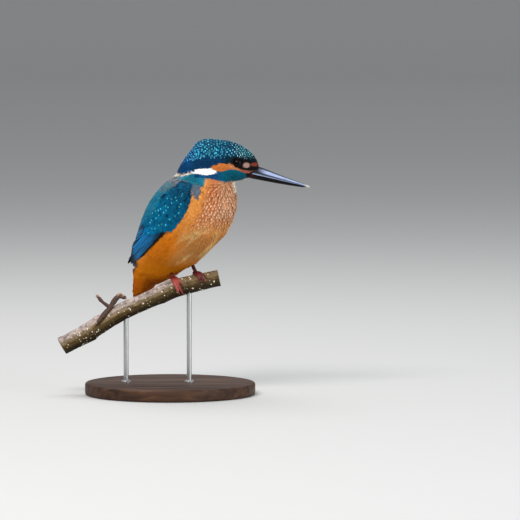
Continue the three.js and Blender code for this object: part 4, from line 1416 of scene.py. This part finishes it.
for name, side in (("right", -1), ("left", 1)):
    roots = scatter(by_width(1.0), rng, in_tract("coverts", side))
    along = on_wing(in_trunk(roots))[1]
    lay = lay_down(roots, rng, long_=4.4 + 2.8 * ease(0, 30, along), half=1.5 + 0.5 * ease(0, 25, along),
                   stray=0.06, rise=1.2)
    grow(f"coat_coverts_{name}", covert_finish, lay, rng, barbs=7, ragged=0.05, tones=0.15,
         colours=wing_colours(lay))
    spotted = chosen_tips(lay, SPOT_ROWS, SPOTS_APART, rng)
    marks = picked(on_tips(lay, 0.8, 0.97, 0.25, above=0.2), spotted)
    ink = dye(58, 186, 208) * rng.uniform(0.5, 1.15, (len(spotted), 1))
    grow(f"coat_spots_{name}", mark_finish, marks, rng, barbs=2, ragged=0.1,
         colours=ink, mark=True)
    roots = scatter(by_width(0.8), rng, in_tract("scapulars", side))
    lay = lay_down(roots, rng, long_=7.5, half=1.35, stray=0.05, rise=0.85)
    grow(f"coat_scapulars_{name}", covert_finish, lay, rng, barbs=5, ragged=0.07)
    streak = dye(44, 140, 160) * rng.uniform(0.5, 1.0, (len(roots), 1))
    marks = on_tips(lay, 0.45, 0.97, 0.2, above=0.18)
    grow(f"coat_streaks_{name}", mark_finish, marks, rng, barbs=1, colours=streak)


# %% Long vanes
VANE_ACROSS = np.array((-1, -0.5, 0.12, 0.2, 0.28, 0.62, 1, 0.6, -0.5))
VANE_HEIGHT = np.array((0, 0.10, 0.13, 0.24, 0.13, 0.10, 0, -0.02, -0.02))
UPPER_SIDE = 7  # so many columns are on the upper side, the rest on the underside
VANE_CUT = 0.03


def even_out(rows, times=3):
    """Pulls each point of some rows towards its neighbours; the ends stay."""
    for _ in range(times):
        rows[:, 1:-1] = (rows[:, :-2] + 2 * rows[:, 1:-1] + rows[:, 2:]) / 4


def long_vanes(name, finish, centre, up, half, colours, mirrored):
    """Flight and tail feathers: closed, slightly arched vanes with a raised shaft and a round tip."""
    n, k = centre.shape[:2]
    v = np.linspace(0, 1, k)
    way = np.gradient(centre, axis=1)
    way /= np.linalg.norm(way, axis=-1, keepdims=True)
    up = up - way * (up * way).sum(-1, keepdims=True)
    up /= np.linalg.norm(up, axis=-1, keepdims=True)
    across = np.cross(up, way) * (-1 if mirrored else 1)
    columns = VANE_ACROSS
    round_tip = np.sqrt(np.maximum(0.012, 1 - np.maximum(0, (v - 0.82) / 0.18) ** 2))
    outline_ = np.minimum(1, 0.5 + 2 * v) * round_tip
    notch = 1 - np.abs(rng.normal(0, VANE_CUT, (n, k, 1))) * (np.abs(columns) == 1)
    side = half[:, None, None] * outline_[None, :, None] * columns * notch
    lift = (VANE_HEIGHT - 0.05 * columns**2 * half[:, None, None])
    verts = centre[:, :, None] + across[:, :, None] * side[..., None] + up[:, :, None] * lift[..., None]
    v_ = v[None, :, None]
    share = (columns + 1) / 2
    vane = np.stack([np.broadcast_to(share, side.shape), np.broadcast_to(v_, side.shape)], -1)
    strip = np.where(np.arange(len(columns)) < UPPER_SIDE, share * 0.6, 0.98 - share * 0.3)
    bake = np.stack([
        (np.arange(n)[:, None, None] + 0.02 + 0.94 * strip) / n + 0 * side, 0.01 + 0.98 * v_ + 0 * side
    ], -1)
    tones_ = np.broadcast_to(colours, (n, k, 3))[:, :, None] * np.ones((1, 1, len(columns), 1))
    tones_[:, :, UPPER_SIDE:] = srgb(40, 34, 34)
    c = len(columns)
    ring_, corner = np.meshgrid(np.arange(k - 1), np.arange(c), indexing="ij")
    a, b = ring_ * c + corner, ring_ * c + (corner + 1) % c
    base = np.arange(n) * k * c
    quads = base[:, None, None, None] + np.stack([a, b, b + c, a + c], -1)[None]
    caps = base[:, None, None] + np.stack([np.arange(c)[::-1], (k - 1) * c + np.arange(c)])[None]
    piece = mesh_of(name, verts.reshape(-1, 3), quads.reshape(-1, 4), caps.reshape(-1, c),
                    vane.reshape(-1, 2), bake.reshape(-1, 2), tones_.reshape(-1, 3), finish, sharp=40)
    if not mirrored:
        piece.data.flip_normals()
    return piece


# %% Flight feathers
FLIGHTS = 12
FLIGHT_HALF = 2.3
STATIONS = 14
FOLD = 9  # a step longer than this, in mm, has jumped across a fold


def beside_wing(side, along, above):
    """The skin's place and normal beside a spot of the wing's own measure, looked at from the side."""
    x, z = WRIST + along * WING_WAY + above * WING_UP
    return meet_skin(trunk_spot(x, side * 60.0, z), trunk_way(0, -side, 0.0))


for name, side in (("right", -1), ("left", 1)):
    centre, up = np.zeros((FLIGHTS, STATIONS, 3)), np.zeros((FLIGHTS, STATIONS, 3))
    reach = np.zeros((FLIGHTS, STATIONS, 1))
    for j in range(FLIGHTS):
        f = j / (FLIGHTS - 1)
        begin = np.array((27 + 17 * f, -8.6 + 13.9 * f))
        end = np.array((80.5 - 24 * f**1.25, -4.2 + 11.2 * f**1.1))
        last = None
        for k in range(STATIONS):
            spot = begin + (end - begin) * k / (STATIONS - 1)
            reach[j, k] = spot[0]
            found = beside_wing(side, *spot)
            if found is None or (last is not None and np.linalg.norm(found[0] - last[0]) > FOLD):
                found = (last[0] + last[2], last[1])
            step = found[0] - last[0] if last is not None else np.zeros(3)
            last = (*found, step)
            centre[j, k], up[j, k] = found
    even_out(centre)
    even_out(up)
    up /= np.linalg.norm(up, axis=-1, keepdims=True)
    out_of_coverts = ease(0.1, 0.5, np.linspace(0, 1, STATIONS))
    centre += up * (0.12 + (0.5 + 0.07 * np.arange(FLIGHTS))[:, None] * out_of_coverts)[..., None]
    # the lowest flight feathers are dark, partly their own colour and partly painted shade along the wing's
    # lower edge
    dark = ease(1.6, 0.4, np.arange(FLIGHTS))[:, None, None]
    bright = dye(4, 122, 186) * (1 - 0.1 * rng.uniform(0, 1, (FLIGHTS, 1, 1)))
    tip = ease(67.5, 72, reach)
    colours = bright + (dye(6, 8, 14) - bright) * np.maximum(dark, 0.95 * tip)
    long_vanes(f"coat_flights_{name}", flight_finish, centre, up,
               np.full(FLIGHTS, FLIGHT_HALF), colours, side == 1)

# %% Tail feathers
RECTRICES = 12
RECTRIX_HALF = 2.0
TAIL_STATIONS = 10
TAIL_TOP, TAIL_END = 87, 60.7
across_tail = np.linspace(-1, 1, RECTRICES)
centre, up = np.zeros((RECTRICES, TAIL_STATIONS, 3)), np.zeros((RECTRICES, TAIL_STATIONS, 3))
inwards = Vector(trunk_way(1.0, 0, 0))
for j, a in enumerate(across_tail):
    for k, v in enumerate(np.linspace(0, 1, TAIL_STATIONS)):
        height = TAIL_TOP - (TAIL_TOP - TAIL_END - 1.2 * abs(a)) * v
        met = meet_skin(trunk_spot(-60.0, a * (3.4 + 2.0 * v), height), inwards)
        if met and (k == 0 or abs(met[0][0] - centre[j, k - 1, 0]) < 4):
            centre[j, k], up[j, k] = met[0], -np.array(inwards)
        else:
            centre[j, k], up[j, k] = 2 * centre[j, k - 1] - centre[j, k - 2], up[j, k - 1]
even_out(centre)
out_of_rump = ease(0.05, 0.3, np.linspace(0, 1, TAIL_STATIONS))
layer = 0.45 + 0.14 * (1 - np.abs(across_tail)) * RECTRICES / 2
centre += up * (layer[:, None] * out_of_rump)[..., None]
blue = dye(8, 66, 122) * (0.85 + 0.3 * rng.uniform(0, 1, (RECTRICES, 1, 1)))
long_vanes("coat_tail", back_finish, centre, up,
           np.full(RECTRICES, RECTRIX_HALF), blue, False)

# %% [markdown]
# ## Eyes and lids
# A kingfisher's eye is almost black: a very dark brown iris round a black pupil, under a clear, wet,
# slightly bulging cornea. The ball is a sphere whose pole is the line of sight, so that the iris is told
# by the angle from that pole. The lid is a thin ring of bare skin, a circle spun round the same line.

# %% Eyes
LID_HALF = 0.17
LID_BEADS = 30
eye_finish = Finish("wet eye", roughness=0.04, Specular_IOR_Level=0.085)
polar = eye_finish.attribute("polar")["Fac"]
flecks = eye_finish.noise(eye_finish.object_place, 1800)
iris = eye_finish.mix(eye_finish.between(flecks, 0.35, 0.65), srgb(7, 4, 3), srgb(20, 11, 7))
rim = eye_finish.mix(eye_finish.between(polar, 0.42, 0.5), iris, (0.002, 0.0015, 0.0015))
eye_finish.colour(eye_finish.mix(eye_finish.between(polar, 0.24, 0.27), (0.001, 0.001, 0.001), rim))

lid_finish = Finish("eyelid skin", roughness=0.7, Specular_IOR_Level=0.03)
lid_finish.grained(2600, srgb(3, 2, 2), srgb(14, 10, 10), 0.0001)


def angle_of(cosine):
    return math.acos(max(-1, min(1, cosine)))


def looking(side):
    """Turns the z axis into the eye's line of sight: outwards, a little forwards and down."""
    way = Vector((0.12, side, -0.02)).normalized()
    return Matrix.Translation(Vector(EYE_AT[side]) * MM) @ way.to_track_quat("Z", "Y").to_matrix().to_4x4()


for name, side in (("right", -1), ("left", 1)):
    bm = bmesh.new()
    bmesh.ops.create_uvsphere(bm, u_segments=48, v_segments=36, radius=EYE_RADIUS * MM)
    for vert in bm.verts:
        angle = angle_of(vert.co.z / (EYE_RADIUS * MM))
        vert.co *= 1 + 0.035 * max(0, 1 - (angle / 0.75) ** 2)
    bmesh.ops.transform(bm, matrix=looking(side), verts=bm.verts)
    ball = piece_from(bm, f"eyeball_{name}", eye_finish, smooth_angle=180)
    sight = looking(side).to_3x3() @ Vector((0, 0, 1))
    centre = Vector(EYE_AT[side])
    keep_values(ball, "polar", [angle_of((v.co / MM - centre).normalized().dot(sight)) / (math.pi / 2)
                                for v in ball.data.vertices])
    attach(ball, "root")
    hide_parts(f"eye_{name}")

    bm = bmesh.new()
    open_angle = math.asin(EYE_OPEN / EYE_RADIUS)
    ring_at = Vector((EYE_OPEN + 0.1, 0, EYE_RADIUS * math.cos(open_angle))) * MM
    circle = bmesh.ops.create_circle(bm, segments=12, radius=LID_HALF * MM)["verts"]
    bmesh.ops.rotate(bm, verts=circle, cent=(0, 0, 0), matrix=Matrix.Rotation(math.pi / 2, 3, "X"))
    bmesh.ops.translate(bm, verts=circle, vec=ring_at)
    bmesh.ops.spin(bm, geom=bm.verts[:] + bm.edges[:], cent=(0, 0, 0), axis=(0, 0, 1),
                   angle=2 * math.pi, steps=72, use_merge=True)
    bmesh.ops.remove_doubles(bm, verts=bm.verts, dist=1e-7)
    for vert in bm.verts:
        bead = 1 + 0.012 * math.sin(math.atan2(vert.co.y, vert.co.x) * LID_BEADS)
        vert.co.x *= bead
        vert.co.y *= bead
    bmesh.ops.recalc_face_normals(bm, faces=bm.faces)
    bmesh.ops.transform(bm, matrix=looking(side), verts=bm.verts)
    lid = piece_from(bm, f"eyelid_{name}", lid_finish, smooth_angle=180)
    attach(lid, "root")

# %% [markdown]
# ## Bill
# Two halves of horn meet along the gape. Each is a tube rolled from a grid: its section is a pointed
# arch over a flat floor, and a short table of widths and heights along the bill gives the taper. A
# swollen lip runs along the edge, and a groove near the root holds the nostril.

# %% Bill finish
horn = Finish("bill horn", roughness=0.34, Specular_IOR_Level=0.1)
place = horn.object_place
streaks = horn.noise(horn.stretched(place, 60, 900, 900), 1.0, 3.0)
axis_x = horn.x_of(place)
# painted highlight: a blue-grey band along the upper mandible's sides and a light line at its lower edge,
# stored at each point, stand for light reflected by the black horn
bill_highlight = horn.attribute("bill_highlight")["Fac"]
black = horn.mix(streaks, srgb(4, 4, 6), srgb(20, 19, 24))
highlight_share = horn.math("MULTIPLY", bill_highlight, horn.between(streaks, 0.2, 0.6, 0.65, 1.0))
black_and_highlight = horn.mix(highlight_share, black, srgb(160, 172, 206))
pale_tip = horn.mix(horn.between(axis_x, 0.0905, 0.0938), black_and_highlight, srgb(196, 186, 176))
flesh = horn.attribute("flesh")["Fac"]
horn.colour(horn.mix(flesh, pale_tip, srgb(74, 34, 33)))
horn.rough(horn.between(streaks, 0.2, 0.8, 0.24, 0.42))
horn.bump(streaks, 0.00006, 0.5)

# %% The two halves
# x from the head's centre, height of the middle, crown above it, jaw below it, half-width, all in mm
BILL = [(15.5, -4.9, 4.4, 4.4, 5.6), (18.6, -5.6, 4.6, 4.7, 5.9), (21.8, -6.3, 4.8, 4.8, 5.3),
        (27.2, -7.6, 4.5, 4.5, 4.25), (34.0, -9.6, 3.9, 3.8, 3.4), (40.8, -11.6, 3.1, 3.0, 2.7),
        (47.6, -13.4, 2.35, 2.3, 2.0), (54.4, -15.2, 1.5, 1.45, 1.3), (59.0, -16.3, 0.85, 0.8, 0.75),
        (61.0, -16.8, 0.3, 0.3, 0.3)]


ARCH = 0.74  # the share of the way round that is the arch; the rest is the flat floor


def gape_at(x):
    return -6.9 - (x - 18.4) * 0.2324


for name, way in (("upper", 1), ("lower", -1)):
    top = way == 1
    marks_of = {}

    def place_on_bill(u, v):
        reach = 1.0 if top else 0.985
        x, mid, above, below, wide = smooth_row(BILL, np.array(u * reach))
        wide = wide if top else wide * 0.93
        gape = gape_at(x) + 0.06 * way
        far = way * max((mid + above - gape) if top else (gape - mid + below), 0.12)
        band = edge = 0.0
        if v < ARCH:
            a = math.pi * v / ARCH
            y = wide * math.copysign(abs(math.cos(a)) ** 0.92, math.cos(a))
            share = math.sin(a) ** 1.12
            z = gape + far * share
            lip = math.exp(-((math.sin(a) / 0.14) ** 2)) * min(wide, 2.0) * 0.05
            y += math.copysign(lip, math.cos(a))
            if top:
                nostril = math.exp(-(((x - 26.6) / 2.6) ** 4) - ((math.sin(a) - 0.36) / 0.16) ** 2)
                y -= math.copysign(0.5 * nostril, math.cos(a))
                # painted highlight: a blue-grey band high on the sides and a light line along the lower edge
                # of the upper mandible
                band = 0.95 * math.exp(-(((share - 0.6) / 0.25) ** 4))
                edge = 0.9 * math.exp(-(((share - 0.05) / 0.09) ** 2))
        else:
            w = (v - ARCH) / (1 - ARCH)
            y = -wide * math.cos(math.pi * w)
            z = gape + 0.3 * way * math.sin(math.pi * w) * min(wide, 1.0)
        spot = HEAD_AT + (x, y, z)
        root = 0.8 * ease(24, 18.0, x) if top else 0.5 * ease(26, 18.5, x)
        marks_of[tuple(np.round(spot * MM, 7))] = (max(band * float(ease(24, 33, x)), edge), float(root))
        return spot * MM

    bm = bmesh.new()
    wrapped_grid(bm, 72, 40, place_on_bill)
    half = piece_from(bm, f"bill_{name}_horn", horn, smooth_angle=50)
    tree, marks = tree_of(marks_of), list(marks_of.values())
    found = np.array([marks[tree.find(v.co)[1]] for v in half.data.vertices])
    keep_values(half, "bill_highlight", found[:, 0])
    keep_values(half, "flesh", found[:, 1])
    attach(half, "root")
    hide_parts(f"bill_{name}")
    print(half.name, len(half.data.polygons), "faces")

# %% [markdown]
# ## Claws
# Claws are horn too. Copies of the eight claw solids are remeshed finely and smoothed, which rounds the
# facets away but keeps the hook.

# %% Claws
claw_finish = Finish("claw horn", roughness=0.36, Specular_IOR_Level=0.3)
claw_streaks = claw_finish.noise(claw_finish.object_place, 1500, 2.0)
claw_horn = claw_finish.mix(claw_streaks, srgb(16, 11, 12), srgb(58, 42, 40))
along_x = claw_finish.x_of(claw_finish.object_place)
# painted shade: the quick's red is darker on the far foot's claws, further along x
claw_red_far_shaded = claw_finish.mix(claw_finish.between(along_x, 0.004, 0.010), srgb(146, 60, 52), srgb(88, 28, 26))
claw_finish.colour(claw_finish.mix(claw_finish.attribute("quick")["Fac"], claw_horn, claw_red_far_shaded))
claw_finish.bump(claw_streaks, 0.00004, 0.4)
CLAW_VOXEL = 0.11
CLAW_SWELL = 0.04
CLAW_COLLAR = 0.1  # how much wider a claw is where it leaves its toe
CLAWS = [f"claw_{side}_{toe}" for side in ("right", "left") for toe in ("inner", "middle", "outer", "hind")]
claws = bmesh.new()
for name in CLAWS:
    one = fused([name], CLAW_VOXEL, CLAW_SWELL)
    relax(one, 3)
    rounded = bpy.data.meshes.new(name)
    one.to_mesh(rounded)
    one.free()
    claws.from_mesh(rounded)
    bpy.data.meshes.remove(rounded)
claws = piece_from(claws, "claws", claw_finish, smooth_angle=180)
foot_tree = tree_of(foot_points)
from_toe = np.array([foot_tree.find(v.co / MM)[2] for v in claws.data.vertices])
for vert, gap in zip(claws.data.vertices, from_toe):
    vert.co = vert.co + vert.normal * (CLAW_COLLAR * float(ease(1.7, 0.1, gap)) * MM)
keep_values(claws, "quick", ease(2.6, 1.5, from_toe))
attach(claws, "root")
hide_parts(*CLAWS)
print("claw faces:", len(claws.data.polygons))

# %% [markdown]
# ## Perch
# A cut length of young branch: smooth bark, painted pale grey on top as painted light and dark brown below
# as painted shade, with its own browns between, pale breathing pores, and a dead, knobbly side shoot
# with buds. The solids are fused and the bark's ripples are pushed into the mesh itself, so they show
# on the outline too.

# %% Bark finish
bark = Finish("bark", roughness=0.62, Specular_IOR_Level=0.15)
place = bark.object_place
light_on_bark = bark.attribute("light_on_bark")["Fac"]
fibres = bark.noise(bark.stretched(place, 120, 420, 420), 1.0, 5.0, 0.3)
blotch = bark.noise(place, 95, 4.0)
grain = bark.noise(place, 900, 4.0)
# painted light and shade: dark brown where the bark faces down, pale grey where it faces up, with the bark's
# own browns between
tint = bark.ramp(light_on_bark, (0.0, srgb(28, 16, 5)), (0.4, srgb(80, 60, 26)), (0.7, srgb(126, 103, 72)),
                 (1.0, srgb(186, 168, 162)))
tint = bark.mix(bark.between(blotch, 0.35, 0.65, 0.0, 0.3), tint, srgb(70, 62, 36))
tint = bark.mix(bark.between(fibres, 0.42, 0.62, 0.0, 0.24), tint, srgb(40, 30, 24))
specks = bark.noise(place, 360, 5.0)
tint = bark.mix(bark.between(specks, 0.46, 0.66, 0.0, 0.55), tint, srgb(34, 27, 14))
tint = bark.mix(bark.between(grain, 0.6, 0.72, 0.0, 0.3), tint, srgb(158, 146, 134))
spur_tint = bark.mix(grain, srgb(30, 19, 16), srgb(104, 80, 68))
tint = bark.mix(bark.attribute("spur")["Fac"], tint, spur_tint)
rings = bark.math("SINE", bark.math("MULTIPLY", bark.attribute("ring")["Fac"], 9.0))
wood_end = bark.mix(bark.between(rings, -0.6, 0.8), srgb(92, 72, 52), srgb(136, 112, 84))
bark.colour(bark.mix(bark.attribute("cut")["Fac"], tint, wood_end))
bark.rough(bark.between(grain, 0.3, 0.7, 0.5, 0.72))
bark.bump(bark.math("ADD", fibres, bark.math("MULTIPLY", grain, 0.5)), 0.0003, 0.6)

# %% Branch and side shoot
BARK_VOXEL = 0.42
BARK_SWELL = 0.1
SCARS = (-61.2, -44.8, -1.6, 18.4)
perch = fused(["perch_branch", "perch_spur"], BARK_VOXEL, BARK_SWELL, whole=True)
relax(perch, 5)
bark_points, bark_normals = points_of(perch)
turn, reach = about_branch(bark_points)
_, radius_there, slope = branch_at(bark_points[:, 0])
spur_share = ease(radius_there + 0.7, radius_there + 2.0, reach)
axis_share = bark_normals[:, 0] * np.cos(slope) + bark_normals[:, 2] * np.sin(slope)
at_end = (bark_points[:, 0] > 28) * ease(0.6, 0.85, axis_share)
at_end = np.maximum(at_end, (bark_points[:, 0] < -70) * ease(0.6, 0.85, -axis_share))
ripple = np.array([
    0.13 * noise.fractal(Vector((x * 0.12, math.cos(a) * 2.2, math.sin(a) * 2.2 + x * 0.03)), 1.0, 2.0, 3)
    + 0.05 * noise.noise(Vector((x * 1.1, y * 1.1, z * 1.1)))
    for (x, y, z), a in zip(bark_points, turn)
])
scars = sum(0.22 * np.exp(-((bark_points[:, 0] - x) / 0.35) ** 2) for x in SCARS)
knobs = np.array([0.22 * noise.noise(Vector(q) * 0.9) for q in bark_points])
round_off = np.clip(radius_there - reach, -0.5, 0.5)
push = ((ripple + scars + round_off) * (1 - spur_share) + knobs * spur_share) * (1 - at_end)
move_to(perch, bark_points + bark_normals * push[:, None])
perch_bvh = BVHTree.FromBMesh(perch)
perch = piece_from(perch, "perch_bark", bark, smooth_angle=180)
# painted light and shade: lighter where the bark faces up and a little towards -y, darker below, with less
# light towards the right end
lit_and_shaded = ease(-0.8, 0.9, bark_normals[:, 2] - 0.12 * bark_normals[:, 1])
keep_values(perch, "light_on_bark", lit_and_shaded * (1 - 0.34 * ease(-6, 12, bark_points[:, 0])))
keep_values(perch, "spur", spur_share)
keep_values(perch, "cut", at_end)
keep_values(perch, "ring", reach + 0.15 * np.sin(3 * turn))
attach(perch, "root")
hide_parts("perch_branch", "perch_spur")
print("perch faces:", len(perch.data.polygons))

# %% Breathing pores
pore_finish = Finish("breathing pore", roughness=0.8)
pore_finish.grained(2400, srgb(176, 164, 138), srgb(240, 234, 216), 0.0001)
rng = np.random.default_rng(29)
PORES = 330
PORE_HEIGHT = 0.16
pores = bmesh.new()
for _ in range(PORES):
    x, a = rng.uniform(-70, 31.5), rng.uniform(-math.pi, math.pi)
    middle = Vector((x, 0, branch_at(x)[0]))
    way = Vector((0, -math.sin(a), math.cos(a)))
    hit, normal, _, _ = perch_bvh.ray_cast((middle + way * 12) * MM, -way)
    if hit is None or (hit / MM - middle).length > 7.6:
        continue
    size = 0.2 + 0.4 * rng.power(0.5)
    shape = Matrix.Diagonal((size * rng.uniform(0.8, 1.7), size, PORE_HEIGHT, 1))
    facing = Matrix.Translation(hit) @ normal.to_track_quat("Z", "Y").to_matrix().to_4x4()
    bmesh.ops.create_uvsphere(pores, u_segments=8, v_segments=5, radius=MM,
                              matrix=facing @ Matrix.Rotation(rng.uniform(0, 3), 4, "Z") @ shape)
pores = piece_from(pores, "perch_pores", pore_finish, smooth_angle=180)
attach(pores, "root")

# %% Buds on the side shoot
bud_finish = Finish("bud scale", roughness=0.5)
bud_finish.grained(1300, srgb(112, 74, 62), srgb(190, 150, 132), 0.00015, 3.0)
# place, size and lean of each bud
BUDS = [(-35.2, -3.0, 67.2, 1.9, 0.5), (-32.6, -3.2, 67.0, 1.6, 1.2), (-30.6, -3.0, 65.9, 1.2, 2.0),
        (-49.2, -5.5, 67.2, 1.3, -0.7), (-33.8, -2.0, 67.8, 1.3, 0.2)]
buds = bmesh.new()
for x, y, z, size, lean in BUDS:
    way = Vector((math.sin(lean), -0.15, math.cos(lean))).normalized()
    base = Matrix.Translation(Vector((x, y, z)) * MM) @ way.to_track_quat("Z", "Y").to_matrix().to_4x4()
    for layer, count in ((0, 4), (1, 3), (2, 1)):
        for i in range(count):
            about = 2 * math.pi * (i + 0.5 * layer) / count
            out = 0.34 * size * (1 - 0.45 * layer) * (count > 1)
            scale = Matrix.Diagonal((0.5 * size, 0.3 * size, 0.72 * size, 1))
            bmesh.ops.create_uvsphere(
                buds, u_segments=12, v_segments=8, radius=MM,
                matrix=base @ Matrix.Rotation(about, 4, "Z")
                @ Matrix.Translation(Vector((out, 0, 0.28 * size * layer)) * MM)
                @ Matrix.Rotation(0.32, 4, "Y") @ scale,
            )
buds = piece_from(buds, "perch_buds", bud_finish, smooth_angle=180)
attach(buds, "root")

# %% [markdown]
# ## Display stand
# The stand is plain: a turned disc of dark stained wood with softened edges, and two thin steel rods
# that run up into the branch, each through a small collar. All three are profiles spun round an axis.

# %% Stand finishes
dark_wood = Finish("dark stained wood", roughness=0.55, Specular_IOR_Level=0.2)
place = dark_wood.object_place
long_grain = dark_wood.noise(dark_wood.stretched(place, 14, 190, 190), 1.0, 5.0, 0.6)
wood_pores = dark_wood.noise(dark_wood.stretched(place, 160, 2200, 2200), 1.0, 2.0)
stain = dark_wood.ramp(long_grain, (0.25, srgb(34, 21, 15)), (0.5, srgb(62, 40, 27)),
                       (0.75, srgb(92, 62, 42)))
in_pores = dark_wood.between(wood_pores, 0.62, 0.72, 0.0, 0.6)
dark_wood.colour(dark_wood.mix(in_pores, stain, srgb(24, 15, 11)))
dark_wood.rough(dark_wood.between(long_grain, 0.2, 0.8, 0.6, 0.5))
dark_wood.bump(wood_pores, 0.00008, 0.4)

steel = Finish("brushed steel", roughness=0.32, Metallic=1.0)
brushed = steel.noise(steel.stretched(steel.object_place, 2600, 2600, 60), 1.0, 2.0)
steel.colour(steel.mix(brushed, (0.42, 0.42, 0.41), (0.62, 0.62, 0.61)))
steel.rough(steel.between(brushed, 0.2, 0.8, 0.24, 0.42))
steel.bump(brushed, 0.00003, 0.5)


def turned(name, finish, profile, centre, steps=96, round_edges=0.0):
    """A closed shape turned on a lathe: the profile is pairs of radius and height, in mm."""
    bm = bmesh.new()
    verts = [bm.verts.new(Vector((r, 0, z)) * MM) for r, z in profile]
    edges = [bm.edges.new(pair) for pair in zip(verts, verts[1:])]
    bmesh.ops.spin(bm, geom=verts + edges, cent=(0, 0, 0), axis=(0, 0, 1), angle=2 * math.pi,
                   steps=steps, use_merge=True)
    bmesh.ops.remove_doubles(bm, verts=bm.verts, dist=1e-6)
    bmesh.ops.recalc_face_normals(bm, faces=bm.faces)
    if round_edges:
        rims = [e for e in bm.edges if len(e.link_faces) == 2 and e.calc_face_angle(0) > 0.8]
        bmesh.ops.bevel(bm, geom=rims, offset=round_edges * MM, segments=4, profile=0.5, affect="EDGES",
                        material=-1)
    bmesh.ops.translate(bm, verts=bm.verts, vec=Vector(centre) * MM)
    made = piece_from(bm, name, finish, smooth_angle=35)
    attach(made, "root")
    return made


# %% Base and rods
low, high = (np.array(corner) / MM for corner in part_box("stand_base"))
base_radius, base_top = high[0], high[2]
base = turned("stand_base_wood", dark_wood,
              [(0, 0), (base_radius, 0), (base_radius, base_top), (0, base_top)], (0, 0, 0), 128, 1.4)
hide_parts("stand_base")
for name in ("left", "right"):
    low, high = (np.array(corner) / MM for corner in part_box(f"stand_rod_{name}"))
    x, radius_ = (low[0] + high[0]) / 2, (high[0] - low[0]) / 2
    rod = turned(f"stand_rod_{name}_steel", steel,
                 [(0, low[2]), (radius_, low[2]), (radius_, high[2]), (0, high[2])], (x, 0, 0), 48)
    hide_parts(f"stand_rod_{name}")
    collar = turned(f"stand_collar_{name}", steel,
                    [(radius_ + 0.02, base_top - 0.2), (radius_ + 1.7, base_top - 0.2),
                     (radius_ + 1.7, base_top + 0.5), (radius_ + 0.9, base_top + 1.5),
                     (radius_ + 0.02, base_top + 1.5), (radius_ + 0.02, base_top - 0.2)], (x, 0, 0), 48, 0.2)
print("base radius and height:", base_radius, base_top)
